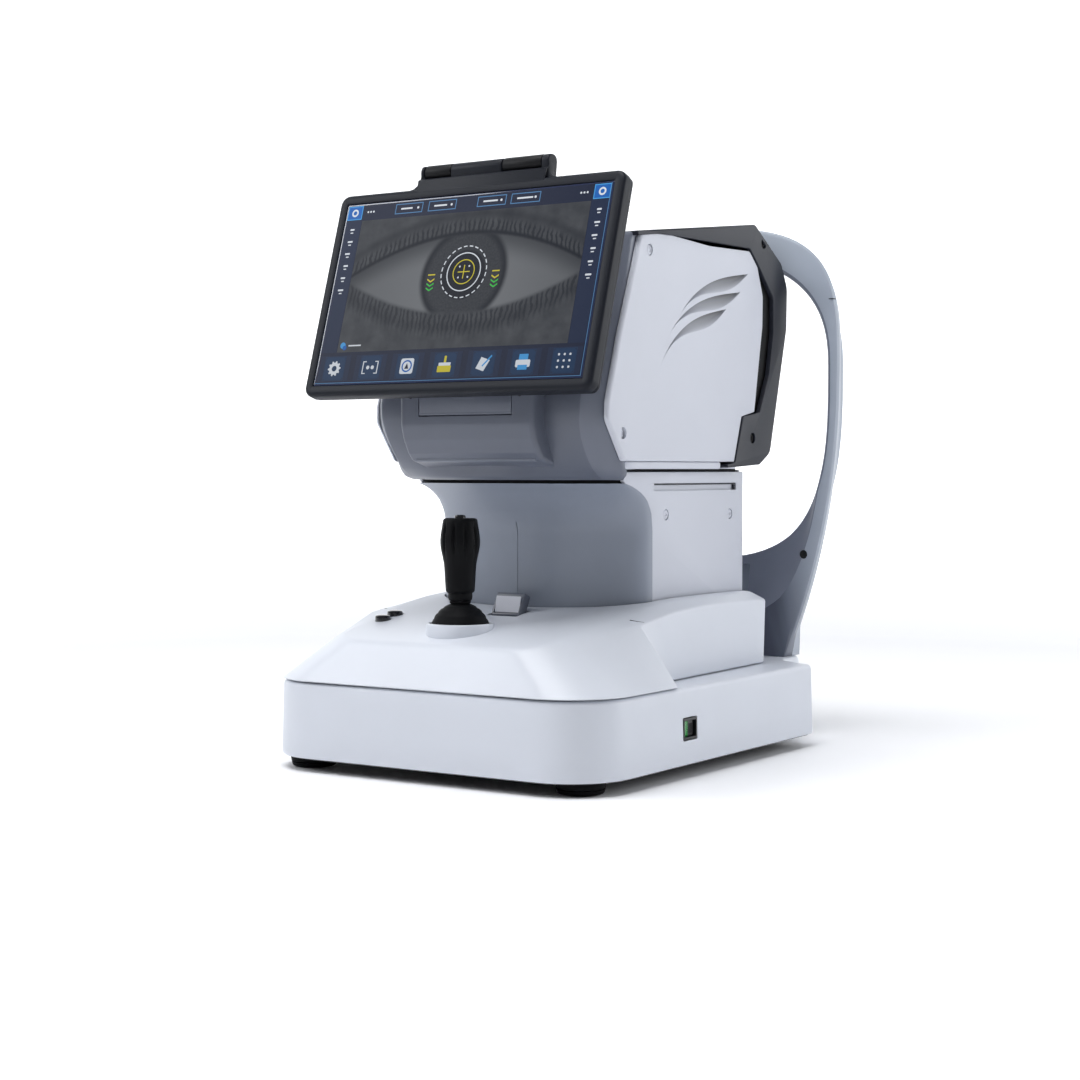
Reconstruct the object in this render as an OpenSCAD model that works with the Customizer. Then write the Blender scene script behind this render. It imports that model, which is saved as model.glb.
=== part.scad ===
// Table-top autorefractor: base, rolling stage, lifting neck and head, tilting screen, headrest arch.
// Millimetres. +Z up, -Y towards the operator, +Y towards the patient, origin on the table under the middle.

/* [Base] */
// Width of the base
base_w = 280; // [276:1:290]
// Length of the base, front to back
base_l = 392; // [390:1:400]
// Height of the rubber feet under the bottom plate
foot_h = 8; // [6:1:10]
// Height of the base's top face above the table
base_top = 61.7; // [60:0.1:63]
// Wall thickness of the moulded covers
wall = 3; // [2.5:0.1:3.2]

/* [Stage] */
// Depth of the rear part of the stage, from the middle of the object
stage_rear = 108; // [107:1:110]
// Height of the stage's top at the rear
stage_top = 117; // [116:0.5:118]

/* [Neck and head] */
// Half width of the neck
neck_hw = 88; // [86:1:89]
// Half width of the head at its side panels
head_hw = 99; // [98:1:101]
// Height of the optical axis at rest
axis_z = 319; // [312:1:326]

/* [Screen] */
// Width of the screen housing
screen_w = 240; // [230:1:244]
// Height of the screen housing
screen_h = 152.5; // [146:0.5:156]
// Lean of the screen from upright
screen_lean = 17; // [15:1:18]

/* [Headrest arch] */
// Half width of the arch's outside at its widest
arch_hw = 139.5; // [136:0.5:141]
// Height of the arch's top
arch_top = 401; // [398:1:404]
// Front face of the arch, behind the middle of the object
arch_y = 159; // [158.5:0.5:160]
// Depth of the arch, front to back
arch_d = 28; // [26:1:28]

/* [Joystick] */
// Distance of the joystick in front of the middle of the object
stick_y = 144; // [142:1:145]
// Height of the joystick's pivot
pivot_z = 97.8; // [97.5:0.1:98]

/* [Hidden] */
$fn = 64;

// Colours
LIGHT = [0.88, 0.89, 0.92];
GREY = [0.55, 0.58, 0.63];
CHARCOAL = [0.27, 0.28, 0.33];
BLACK = [0.09, 0.10, 0.12];
STEEL = [0.75, 0.76, 0.78];
BRASS = [0.80, 0.66, 0.35];
GREEN = [0.10, 0.50, 0.18];
BOARD = [0.08, 0.33, 0.22];

// Base
base_hw = base_w / 2;
base_hl = base_l / 2;
tub_z = foot_h + 1;
plate_t = 3;
tail_hw = 104;
foot_r = 17;
foot_places = [[112, -166], [86, 166]];
switch_y = -70.5;
switch_z = 33.5;
switch_l = 19;
switch_h = 15;
inlet_z = 32;

// Stage drive: a pinion axle rolls on two racks, and the stage slides across on two rods
tooth_module = 1;
pinion_teeth = 12;
pinion_r = tooth_module * pinion_teeth / 2;
addendum = 0.7;
dedendum = 1.2;
rack_x = 40;
rack_w = 6;
rack_pitch_z = base_top + 3.8;
axle_y = 10;
axle_z = rack_pitch_z + pinion_r;
axle_r = 3;
rod_r = 3.5;
rod_gap = 32;
rod_l = 204;
side_x = 30;
side_t = 6;
run_gap = 0.05;
chassis_z = 80;
chassis_t = 3;
chassis_top = chassis_z + chassis_t;

// Lift
guide_x = 55;
guide_y = 20;
guide_r = 6;
screw_y = 60;
screw_r = 4;
guide_top = 196;
floor_z = 211;
floor_t = 4;
deck_z = 216;
tube_r = 26;
window_r = 32;
lens_r = 20;

// Neck and head outline, as seen from the side
neck_bow = 38;
neck_front_y = -36;
neck_rear_y = 102;
neck_bottom = 96;
neck_top = 209;
bow_top = 200.5;
panel_outline = [
    [-95, 216, 4], [-114, 241, 8], [-114, 253, 14], [-79, 370, 16], [91, 374, 6],
    [113, 337, 12], [112, 283, 20], [101.5, 253.5, 1], [78.5, 249.5, 1], [66, 216, 1]
];
frame_outline = [
    [-74, 372.6, 1], [98, 394, 8], [142, 368, 8], [152, 350, 14], [151, 318, 20],
    [124, 222, 10], [107, 213, 6], [56, 210.5, 1], [50, 212, 0.5], [0, 300, 40]
];
frame_inside = [
    [-100, 366.5, 1], [97.5, 390.8, 6], [140, 365.8, 6], [149, 349.6, 11], [148, 318.5, 18],
    [121.6, 224, 8], [106, 216, 4], [40, 213, 1]
];
band_outline = [
    [-66, 373.6, 0.5], [98, 394, 8], [142, 368, 8], [152, 350, 14], [151, 318, 20],
    [124, 222, 10], [107, 213, 6], [56, 210.5, 1], [67.5, 215.5, 1], [80, 248.5, 1], [102.5, 252.5, 1],
    [115, 275, 6], [126, 320, 10], [126, 339, 10], [90, 375, 2], [-60, 373, 0.5]
];
gap_start = 100;

// Screen
lean_up = [sin(screen_lean), cos(screen_lean)];
screen_foot = [-168, 261];
bezel_t = 10;
back_t = 5;
glass_w = 226;
glass_h = 138;
hinge_y = -113.3;
hinge_z = 418;
hinge_r = 5.5;
knuckles = [[-49, -26.4], [17.4, 49.6]];
lugs = [[-52, -49.4], [-26, 17], [50, 56]];

// Joystick
boot_r = 20.7;
boss_r = 23;
grip_bore = 4 + run_gap;
lever_x = 6.5;
lever_hw = 12;
lever_y = -95;
lever_pivot = 100;
button_x = -79;
button_r = 5.6;
button_l = 10;
buttons = [[-129, 104], [-115, 106.5]];

// ---------------------------------------------------------------- helpers

function unit(v) = v / norm(v);

// Points of the arc of radius r that rounds the corner at b
function corner(a, b, c, r, n = 8) =
    let (u = unit(a - b), v = unit(c - b), half = acos(u * v) / 2)
    let (mid = b + unit(u + v) * r / sin(half), d = r / tan(half))
    let (p = b + u * d - mid, q = b + v * d - mid)
    let (from = atan2(p.y, p.x), turn = atan2(q.y, q.x) - from)
    let (sweep = turn > 180 ? turn - 360 : turn < -180 ? turn + 360 : turn)
    [for (i = [0:n]) mid + r * [cos(from + sweep * i / n), sin(from + sweep * i / n)]];

// Outline with the corner at each [x, y, radius] rounded
function rounded(pts, n = 8) =
    let (m = len(pts), xy = [for (p = pts) [p.x, p.y]])
    [for (i = [0:m - 1]) each corner(xy[(i + m - 1) % m], xy[i], xy[(i + 1) % m], pts[i].z, n)];

// Outline of the right half and its mirror image
function both_sides(half) = concat(half, [for (i = [len(half) - 1:-1:0]) [-half[i].x, half[i].y, half[i].z]]);

// One quarter of a superellipse, from angle a to angle b
function bulge(a, b, rx, ry, power, n = 16) =
    [for (i = [0:n]) let (t = a + (b - a) * i / n)
        [rx * sign(cos(t)) * pow(abs(cos(t)), 2 / power), ry * sign(sin(t)) * pow(abs(sin(t)), 2 / power)]];

// Solid between two heights
module prism(z0, z1) {
    translate([0, 0, z0]) linear_extrude(z1 - z0) children();
}

// Outline drawn as [y, z], made solid between two places along X
module across(x0, x1) {
    translate([x0, 0, 0]) rotate([90, 0, 90]) linear_extrude(x1 - x0) children();
}

// Outline drawn as [x, z], made solid between two places along Y
module along(y0, y1) {
    translate([0, y1, 0]) rotate([90, 0, 0]) linear_extrude(y1 - y0) children();
}

// Box from its low corner to its high corner
module block(low, high) {
    translate(low) cube(high - low);
}

// Rod along X
module rod_x(x0, x1, y, z, r) {
    translate([x0, y, z]) rotate([0, 90, 0]) cylinder(r = r, h = x1 - x0);
}

// Rod along Y
module rod_y(y0, y1, x, z, r) {
    translate([x, y0, z]) rotate([-90, 0, 0]) cylinder(r = r, h = y1 - y0);
}

// Rod along Z
module rod_z(z0, z1, x, y, r) {
    translate([x, y, z0]) cylinder(r = r, h = z1 - z0);
}

// The same piece on the right and on the left
module mirrored_x() {
    children();
    mirror([1, 0, 0]) children();
}

// ---------------------------------------------------------------- base

module base_outline() {
    polygon(rounded(both_sides([
        [base_hw, -base_hl, 45], [base_hw, 120, 8], [tail_hw, 140, 20], [tail_hw, base_hl, 35]
    ])));
}

module base_tub() {
    color(LIGHT) difference() {
        prism(tub_z, base_top) base_outline();
        prism(tub_z - 1, base_top - wall) offset(delta = -wall) base_outline();
        // opening for the power switch
        block(
            [base_hw - wall - 1, switch_y - switch_l / 2, switch_z - switch_h / 2],
            [base_hw + 1, switch_y + switch_l / 2, switch_z + switch_h / 2]);
        // opening for the mains inlet
        block([-14, base_hl - wall - 1, inlet_z - 11], [14, base_hl + 1, inlet_z + 11]);
        // cable hole under the stage
        rod_z(base_top - wall - 1, base_top + 1, 0, 60, 8);
        // cable hole under the arch
        rod_z(base_top - wall - 1, base_top + 1, 40, 173, 5);
    }
}

module bottom_plate() {
    color(CHARCOAL) prism(foot_h, foot_h + plate_t) offset(delta = -wall - 0.5) base_outline();
}

module rubber_feet() {
    color(BLACK) mirrored_x() for (p = foot_places)
        translate([p.x, p.y, 0]) cylinder(r1 = foot_r - 1.5, r2 = foot_r, h = foot_h);
}

// Side profile of one rack tooth, centred on y = 0, with its root at the bottom
module rack_tooth() {
    pitch = PI * tooth_module;
    lean = tan(20);
    half = 0.2 * pitch;
    polygon([
        [-half - lean * dedendum, -dedendum], [half + lean * dedendum, -dedendum],
        [half - lean * addendum, addendum], [-half + lean * addendum, addendum]
    ]);
}

module rack_rails() {
    pitch = PI * tooth_module;
    color(BRASS) mirrored_x() across(rack_x, rack_x + rack_w) {
        translate([-36, base_top]) square([68, rack_pitch_z - dedendum - base_top]);
        for (i = [-14:6]) translate([axle_y + (i + 0.5) * pitch, rack_pitch_z]) rack_tooth();
    }
}

module power_supply() {
    color(STEEL) difference() {
        block([-95, -70, foot_h + plate_t], [-20, 60, 47]);
        for (i = [0:7]) block([-85, -60 + i * 14, 45], [-30, -55 + i * 14, 48]);
    }
}

module base_board() {
    color(BOARD) {
        block([15, -60, 17], [95, 45, 18.6]);
        for (x = [22, 88], y = [-53, 38]) rod_z(foot_h + plate_t, 17, x, y, 3);
        block([25, -45, 18.6], [45, -25, 24]);
        block([60, -10, 18.6], [85, 20, 28]);
        for (i = [0:3]) rod_z(18.6, 32, 30 + i * 12, 30, 4);
    }
}

module mains_inlet() {
    color(BLACK) {
        difference() {
            block([-13.8, 172, inlet_z - 10.8], [13.8, base_hl - 0.5, inlet_z + 10.8]);
            block([-11, 182, inlet_z - 8], [11, base_hl, inlet_z + 8]);
        }
        block([-18, base_hl - wall - 3, inlet_z - 14], [-13.8, base_hl - wall, inlet_z + 14]);
        block([13.8, base_hl - wall - 3, inlet_z - 14], [18, base_hl - wall, inlet_z + 14]);
        // contact pins, the middle one higher
        for (p = [[-6, -3], [0, -1], [6, -3]])
            block([p.x - 1, 181, inlet_z + p.y], [p.x + 1, 192, inlet_z + p.y + 4]);
    }
}

module switch_frame() {
    color(BLACK) difference() {
        block(
            [base_hw - 14, switch_y - switch_l / 2 + 0.2, switch_z - switch_h / 2 + 0.2],
            [base_hw - 0.2, switch_y + switch_l / 2 - 0.2, switch_z + switch_h / 2 - 0.2]);
        block([base_hw - 11, switch_y - 7.7, switch_z - 5.7], [base_hw, switch_y + 7.7, switch_z + 5.7]);
        // pivot of the rocker
        rod_z(switch_z - 6.8, switch_z + 6.8, base_hw - 5, switch_y, 1.2 + run_gap);
    }
}

module power_rocker() {
    color(GREEN) {
        prism(switch_z - 5.4, switch_z + 5.4) polygon([
            [base_hw - 7, switch_y - 6], [base_hw - 1.2, switch_y - 6.6], [base_hw - 2.6, switch_y],
            [base_hw - 2.2, switch_y + 6.6], [base_hw - 7, switch_y + 6]
        ]);
        rod_z(switch_z - 6.6, switch_z + 6.6, base_hw - 5, switch_y, 1.2);
    }
}

// ---------------------------------------------------------------- headrest arch

arch_mid = 286;
arch_foot = 102;
plug_x = 111;
plug_z = 143;
post_hw = 9;
post_y0 = arch_y + 10;
post_y1 = arch_y + 20;
cup_z = 205;

function arch_leg(n = 12) =
    [for (i = [0:n]) let (u = i / n)
        [arch_hw - (arch_hw - arch_foot) * pow(u, 2.1), arch_mid - (arch_mid - base_top) * u]];

module arch_outside() {
    crown = [for (p = bulge(0, 90, arch_hw, arch_top - arch_mid, 3.4)) p + [0, arch_mid]];
    leg = arch_leg();
    half = concat([for (i = [len(leg) - 1:-1:1]) leg[i]], crown);
    polygon(concat(half, [for (i = [len(half) - 2:-1:0]) [-half[i].x, half[i].y]]));
}

module arch_opening() {
    top = bulge(0, 90, 129, 92, 2.6);
    low = bulge(-90, 0, 129, 148, 3.2);
    half = concat(low, [for (i = [1:len(top) - 1]) top[i]]);
    translate([0, arch_mid]) polygon(concat(half, [for (i = [len(half) - 2:-1:1]) [-half[i].x, half[i].y]]));
}

// Room for the chin rest's drive and post inside the foot of the arch
module arch_room() {
    block([-60, arch_y + wall, base_top - 1], [60, arch_y + arch_d - wall, 134]);
    block([-post_hw - 3, post_y0 - 2, 120], [post_hw + 3, post_y1 + 2, 150]);
}

module arch_front_shell() {
    color(GREY) difference() {
        along(arch_y, arch_y + arch_d / 2) difference() {
            arch_outside();
            arch_opening();
        }
        arch_room();
        for (x = [-plug_x, plug_x]) rod_y(arch_y - 1, arch_y + 4, x, plug_z, 3.5);
    }
}

module arch_rear_shell() {
    color(GREY) difference() {
        along(arch_y + arch_d / 2, arch_y + arch_d) difference() {
            arch_outside();
            arch_opening();
        }
        arch_room();
    }
}

module arch_plugs() {
    color(BLACK) for (x = [-plug_x, plug_x]) rod_y(arch_y + 0.6, arch_y + 4, x, plug_z, 3.5);
}

module forehead_pad() {
    color(BLACK) along(arch_y + arch_d, base_hl) polygon(rounded([
        [-52, 372, 4], [-30, 383, 30], [30, 383, 30], [52, 372, 4],
        [56, 392, 6], [30, 399, 30], [-30, 399, 30], [-56, 392, 6]
    ]));
}

// Gear motor beside the post, and the collar that guides the post
module chin_drive() {
    color(STEEL) {
        block([20, arch_y + 4, base_top], [50, arch_y + 24, 92]);
        rod_x(12, 20, arch_y + 14, 76, 8);
        difference() {
            block([-20, arch_y + wall, 121], [20, arch_y + arch_d - wall, 133.8]);
            block([-post_hw - 0.2, post_y0 - 0.2, 120], [post_hw + 0.2, post_y1 + 0.2, 135]);
        }
    }
}

module chin_post() {
    color(STEEL) block([-post_hw, post_y0, 84], [post_hw, post_y1, cup_z]);
}

module chin_cup() {
    color(LIGHT) {
        difference() {
            prism(cup_z, cup_z + 17) polygon(rounded([
                [-38, arch_y, 10], [38, arch_y, 10], [38, base_hl, 16], [-38, base_hl, 16]
            ]));
            // hollow for the chin
            translate([0, base_hl + 8, cup_z + 31]) sphere(r = 30);
            block([-30, arch_y + 5, cup_z + 12], [30, base_hl + 1, cup_z + 18]);
        }
        // pins that hold the paper tissues
        for (x = [-26, 26]) rod_z(cup_z + 12, cup_z + 23, x, arch_y + 9, 2);
    }
}

// ---------------------------------------------------------------- cross carriage

module carriage_frame() {
    color(STEEL) difference() {
        union() {
            mirrored_x() block([side_x, axle_y - 42, base_top + 1.5], [side_x + side_t, axle_y + 42, 78]);
            block([-side_x, axle_y - 42, 75.6], [side_x, axle_y + 42, 78]);
        }
        rod_x(-50, 50, axle_y, axle_z, 5);
        for (s = [-1, 1]) rod_x(-50, 50, axle_y + s * rod_gap, axle_z, 5.5);
    }
}

module axle_shaft() {
    color(STEEL) rod_x(-50, 50, axle_y, axle_z, axle_r);
}

// One tooth of the pinion, pointing up, with involute flanks
module pinion_tooth() {
    base_r = pinion_r * cos(20);
    tip_r = pinion_r + addendum;
    half_angle = 90 * 0.8 / pinion_teeth;
    involute_at_pitch = (tan(20) * 180 / PI) - 20;
    steps = 5;
    flank = [for (i = [0:steps])
        let (r = base_r + (tip_r - base_r) * i / steps, a = acos(base_r / r))
        let (t = half_angle + involute_at_pitch - (tan(a) * 180 / PI - a))
        r * [sin(t), cos(t)]];
    foot = [sin(half_angle + involute_at_pitch), cos(half_angle + involute_at_pitch)] * 4.2;
    polygon(concat([foot], flank, [for (i = [steps:-1:0]) [-flank[i].x, flank[i].y]], [[-foot.x, foot.y]]));
}

module axle_pinions() {
    color(BRASS) mirrored_x() translate([0, axle_y, axle_z]) difference() {
        across(rack_x, rack_x + rack_w) {
            circle(r = pinion_r - dedendum);
            for (i = [0:pinion_teeth - 1]) rotate(180 + i * 360 / pinion_teeth) pinion_tooth();
        }
        rod_x(rack_x - 1, rack_x + rack_w + 1, 0, 0, axle_r);
    }
}

module bush_x(y, inner, outer) {
    difference() {
        rod_x(side_x - 1.5, side_x + side_t, y, axle_z, outer);
        rod_x(side_x - 3, side_x + side_t + 1, y, axle_z, inner);
    }
}

module carriage_bushes() {
    color(BRASS) mirrored_x() {
        bush_x(axle_y, axle_r + run_gap, 5);
        for (s = [-1, 1]) bush_x(axle_y + s * rod_gap, rod_r + run_gap, 5.5);
    }
}

// ---------------------------------------------------------------- stage

module cross_rods() {
    color(STEEL) for (s = [-1, 1]) rod_x(-rod_l / 2, rod_l / 2, axle_y + s * rod_gap, axle_z, rod_r);
}

module stage_chassis() {
    color(STEEL) difference() {
        union() {
            prism(chassis_z, chassis_top) polygon(rounded(both_sides([
                [102, -172, 30], [102, 98, 8]
            ])));
            // hangers of the cross rods
            mirrored_x() for (s = [-1, 1]) block(
                [96, axle_y + s * rod_gap - 8, base_top + 2], [102, axle_y + s * rod_gap + 8, chassis_z]);
            // yoke of the joystick
            mirrored_x() block([12.5, -stick_y - 5, chassis_top], [16.5, -stick_y + 5, pivot_z + 4]);
            // bearing of the lock lever
            for (s = [-1, 1]) block(
                [lever_x + s * (lever_hw + 2.5) - 2, lever_y - 4, chassis_top],
                [lever_x + s * (lever_hw + 2.5) + 2, lever_y + 4, lever_pivot + 4]);
            // push switches under the chin rest buttons
            for (p = buttons) rod_z(chassis_top, p.y - button_l - 1.3, button_x, p.x, 4);
        }
        for (s = [-1, 1]) rod_x(-110, 110, axle_y + s * rod_gap, axle_z, rod_r);
        rod_z(chassis_z - 1, chassis_top + 1, 0, -stick_y, 14.5);
        rod_x(-30, 30, -stick_y, pivot_z, 2 + run_gap);
        rod_x(lever_x - 20, lever_x + 20, lever_y, lever_pivot, 2 + run_gap);
    }
}

// Solid of the stage's moulded cover; inset gives its inner face
module stage_solid(inset) {
    low = base_top + 0.8 - (inset > 0 ? 1 : 0);
    // sloping front part
    hull() {
        prism(low, low + 4) offset(delta = -inset) polygon(rounded(both_sides([
            [base_hw - 0.5, -base_hl + 0.5, 45], [base_hw - 0.5, -85, 6], [114, -46, 1]
        ])));
        prism(92 - inset, 92.5 - inset) offset(delta = -inset) polygon(rounded(both_sides([
            [92, -179, 12], [94, -120, 4]
        ])));
        prism(110.5 - inset, 111 - inset) offset(delta = -inset) polygon(rounded(both_sides([
            [96, -84, 2], [96, -46, 2]
        ])));
    }
    // rear part with its chamfered shoulders
    hull() {
        prism(low, 109.5 - inset) offset(delta = -inset) polygon(rounded(both_sides([
            [114, -52, 2], [106, stage_rear, 6]
        ])));
        prism(111 - inset, 111.5 - inset) offset(delta = -inset) polygon(rounded(both_sides([
            [97, -82, 2], [100, stage_rear - 4, 6]
        ])));
        prism(stage_top - 0.5 - inset, stage_top - inset) offset(delta = -inset) polygon(rounded(both_sides([
            [96, -45, 4], [97, stage_rear - 8, 6]
        ])));
    }
}

module neck_outline() {
    bow = bulge(-90, 0, neck_hw, neck_bow, 2);
    polygon(concat(
        [for (p = bow) p + [0, neck_front_y]],
        [[neck_hw, neck_rear_y], [-neck_hw, neck_rear_y]],
        [for (i = [len(bow) - 1:-1:1]) [-bow[i].x, bow[i].y + neck_front_y]]
    ));
}

module stage_cover() {
    color(LIGHT) difference() {
        stage_solid(0);
        stage_solid(wall);
        // well for the neck, with a gap all round
        prism(98, 130) offset(delta = 1.5) neck_outline();
        // joystick, buttons and lock lever
        rod_z(80, 120, 0, -stick_y, boss_r);
        for (p = buttons) rod_z(80, 120, button_x, p.x, button_r + 0.4);
        block([lever_x - lever_hw - 1, lever_y - 16, 90], [lever_x + lever_hw + 1, lever_y + 8, 130]);
    }
}

module joystick_boss() {
    color(LIGHT) difference() {
        rod_z(93, 106, 0, -stick_y, boss_r);
        translate([0, -stick_y, pivot_z]) sphere(r = boot_r + 0.4);
        rod_z(92, pivot_z, 0, -stick_y, boot_r + 0.4);
    }
}

module lift_motor() {
    color(CHARCOAL) difference() {
        block([-21, screw_y - 21, chassis_top], [21, screw_y + 21, chassis_top + 38]);
        rod_z(chassis_top + 5, chassis_top + 40, 0, screw_y, screw_r + run_gap);
    }
}

module lift_guides() {
    color(STEEL) mirrored_x() {
        rod_z(chassis_top, guide_top, guide_x, guide_y, guide_r);
        rod_z(chassis_top, chassis_top + 6, guide_x, guide_y, 12);
    }
}

module lift_screw() {
    color(STEEL) rod_z(chassis_top + 5.3, guide_top, 0, screw_y, screw_r);
}

module lock_lever() {
    color(GREY) {
        across(lever_x - lever_hw, lever_x + lever_hw) polygon(rounded([
            [-98, 97, 1], [-92, 97, 1], [-92, 106, 1], [-85.5, 120, 1.5], [-92, 122.5, 1.5], [-99, 107, 1]
        ], 3));
        rod_x(lever_x - lever_hw - 4.4, lever_x + lever_hw + 4.4, lever_y, lever_pivot, 2);
    }
}

module dome_button(p) {
    translate([button_x, p.x, p.y]) {
        rod_z(-button_l, 1.5, 0, 0, button_r);
        translate([0, 0, 1.5]) intersection() {
            translate([0, 0, -5]) sphere(r = 7.5);
            cylinder(r = button_r, h = 4);
        }
    }
}

module chin_up_button() {
    color(BLACK) dome_button(buttons[0]);
}

module chin_down_button() {
    color(BLACK) dome_button(buttons[1]);
}

// ---------------------------------------------------------------- joystick

module joystick_gimbal() {
    color(STEEL) translate([0, -stick_y, pivot_z]) difference() {
        union() {
            rod_z(-3, 3, 0, 0, 10.5);
            rod_x(-16, 16, 0, 0, 2);
        }
        rod_z(-4, 4, 0, 0, 7.5);
        rod_y(-12, 12, 0, 0, 1.6 + run_gap);
    }
}

module joystick_stick() {
    color(STEEL) translate([0, -stick_y, 0]) {
        rod_z(70, 165, 0, 0, 4);
        rod_z(pivot_z - 3.5, pivot_z + 3.5, 0, 0, 5.5);
        rod_y(-9.8, 9.8, 0, pivot_z, 1.6);
        translate([0, 0, 70]) sphere(r = 6);
    }
}

module joystick_boot() {
    color(BLACK) translate([0, -stick_y, pivot_z]) rotate_extrude() {
        arc = [for (i = [0:10]) let (t = 18 + 62 * i / 10) [sin(t), cos(t)]];
        polygon(concat(boot_r * arc, [for (i = [10:-1:0]) (boot_r - 2) * arc[i]]));
        translate([4, 17.8]) square([3.6, 3.4]);
    }
}

module joystick_grip() {
    color(BLACK) translate([0, -stick_y, 0]) difference() {
        rotate_extrude() polygon([
            [0, 119.5], [7.8, 119.5], [8.6, 124], [9.8, 126], [11, 138], [12, 147], [13.2, 154],
            [13.8, 160], [13.6, 167], [12.9, 174], [11.8, 176], [0, 176]
        ]);
        rod_z(118, 165.2, 0, 0, grip_bore);
        rod_z(169, 177, 0, 0, 4.2);
        // finger flutes
        for (i = [0:9]) rotate(36 * i + 12) rod_z(148, 172, 15.3, 0, 2.6);
    }
}

module joystick_trigger() {
    color(BLACK) rod_z(172, 178.5, 0, -stick_y, 3.9);
}

// ---------------------------------------------------------------- neck and head

module head_chassis() {
    color(STEEL) {
        difference() {
            union() {
                block([1 - head_hw, -38, floor_z], [head_hw - 1, 48.5, floor_z + floor_t]);
                // rear part, raised over the bottom of the rear frame
                block([-84, 42, floor_z + 1], [84, 48.5, deck_z + floor_t]);
                block([-84, 42, deck_z], [84, 96, deck_z + floor_t]);
            }
            // cable hole
            rod_z(deck_z - 1, deck_z + floor_t + 1, 40, 60, 9);
        }
        // pedestals of the optical tube
        for (p = [[0, floor_z + floor_t], [80, deck_z + floor_t]]) along(p.x, p.x + 8) difference() {
            translate([-20, p.y]) square([40, axis_z - 13 - p.y]);
            translate([0, axis_z]) circle(r = tube_r);
        }
    }
}

module lift_bushes() {
    color(BRASS) mirrored_x() difference() {
        rod_z(158, floor_z, guide_x, guide_y, 10);
        rod_z(157, floor_z + 1, guide_x, guide_y, guide_r + run_gap);
    }
}

module lift_nut() {
    color(BRASS) difference() {
        union() {
            rod_z(150, deck_z, 0, screw_y, 9);
            rod_z(150, 156, 0, screw_y, 14);
        }
        rod_z(149, deck_z + 1, 0, screw_y, screw_r + run_gap);
    }
}

// Half ellipse bowed to the front
module neck_bow_outline(bow, inset) {
    arc = bulge(-90, 0, neck_hw - inset, bow - inset, 2);
    back = inset > 0 ? [[neck_hw - inset, 1], [inset - neck_hw, 1]] : [];
    translate([0, neck_front_y])
        polygon(concat(arc, back, [for (i = [len(arc) - 1:-1:1]) [-arc[i].x, arc[i].y]]));
}

// Bowed front of the neck, flaring out towards the head; inset gives its inner face
module neck_bow_solid(inset) {
    over = inset > 0 ? 1 : 0;
    prism(neck_bottom - over, bow_top + over) neck_bow_outline(neck_bow, inset);
    intersection() {
        prism(168, bow_top + over) neck_bow_outline(neck_bow + 30, inset);
        across(-neck_hw, neck_hw) polygon([
            [-72 + inset, 168], [-84 + inset, 190], [-104 + inset, bow_top], [-104 + inset, bow_top + 2],
            [-30, bow_top + 2], [-30, 168]
        ]);
    }
}

module neck_front_shell() {
    color(GREY) difference() {
        neck_bow_solid(0);
        neck_bow_solid(wall);
    }
}

module neck_side(x0, x1) {
    difference() {
        across(x0, x1) polygon([
            [neck_front_y, neck_bottom], [neck_rear_y - wall, neck_bottom],
            [neck_rear_y - wall, neck_top], [neck_front_y, neck_top]
        ]);
        // shallow slot under the head
        mirrored_x() block([neck_hw - 1, -32, 195], [neck_hw + 1, 91, 199]);
    }
}

module neck_right_panel() {
    color(LIGHT) neck_side(neck_hw - wall, neck_hw);
}

module neck_left_panel() {
    color(LIGHT) neck_side(-neck_hw, -neck_hw + wall);
}

module neck_rear_panel() {
    color(LIGHT) block([-neck_hw, neck_rear_y - wall, neck_bottom], [neck_hw, neck_rear_y, neck_top]);
}

// Solid of the head's front shell; inset gives its inner face
module face_solid(inset) {
    side_hw = head_hw - wall - inset;
    back = -40 + 2 * inset;
    intersection() {
        // side view: chin, face behind the screen and top edge
        across(-side_hw, side_hw) offset(delta = -inset) polygon(rounded([
            [back, 203, 1], [-98, 203, 6], [-127, 238, 8], [-125, 256, 14], [-90, 368, 6], [back, 368, 1]
        ]));
        // front view: narrower towards the bottom
        along(-140, 0) polygon([
            [-side_hw, 380], [-side_hw, 236], [-84 + inset, 200],
            [84 - inset, 200], [side_hw, 236], [side_hw, 380]
        ]);
        // plan: chamfered front corners
        prism(190, 380) offset(delta = -inset) polygon([
            [-head_hw + wall, 0], [-head_hw + wall, -111], [-83, -129],
            [83, -129], [head_hw - wall, -111], [head_hw - wall, 0]
        ]);
    }
}

module head_front_shell() {
    color(GREY) difference() {
        union() {
            difference() {
                face_solid(0);
                face_solid(wall);
            }
            // printer bay
            across(-bay_hw, bay_hw) polygon(rounded([
                [-112, 206, 1], [-127, 215.5, 2], [door_y, 238, 10], [door_y, bay_top, 3], [-112, bay_top, 1]
            ]));
        }
        across(wall - bay_hw, bay_hw - wall) polygon([
            [-60, 211], [-116, 211], [-126, 219], [door_y + wall, 239],
            [door_y + wall, bay_top - wall], [-60, bay_top - wall]
        ]);
        // door opening and the bores of its pin
        block([-door_hw - 0.5, door_y - 2, door_pivot_z - 2], [door_hw + 0.5, door_y + 9, door_top + 0.4]);
        rod_x(-door_hw - 4, door_hw + 4, door_y + door_r, door_pivot_z, door_pin_r + run_gap);
        // cable passage to the screen hinge
        block([-20, -120, 340], [20, -70, 352]);
    }
}

// One swept louvre recess: a bowed upper edge and a fuller lower edge
module louvre(from, to, rise, depth) {
    bow = [for (i = [0:12]) let (t = i / 12) [t, sin(180 * pow(t, 0.7)), sin(180 * pow(t, 1.6))]];
    upper = [for (b = bow) from + (to - from) * b.x + [0, rise * b.y]];
    lower = [for (b = bow) from + (to - from) * b.x + [0, (rise - depth * b.z) * b.y]];
    polygon(concat(upper, [for (i = [11:-1:1]) lower[i]]));
}

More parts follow.
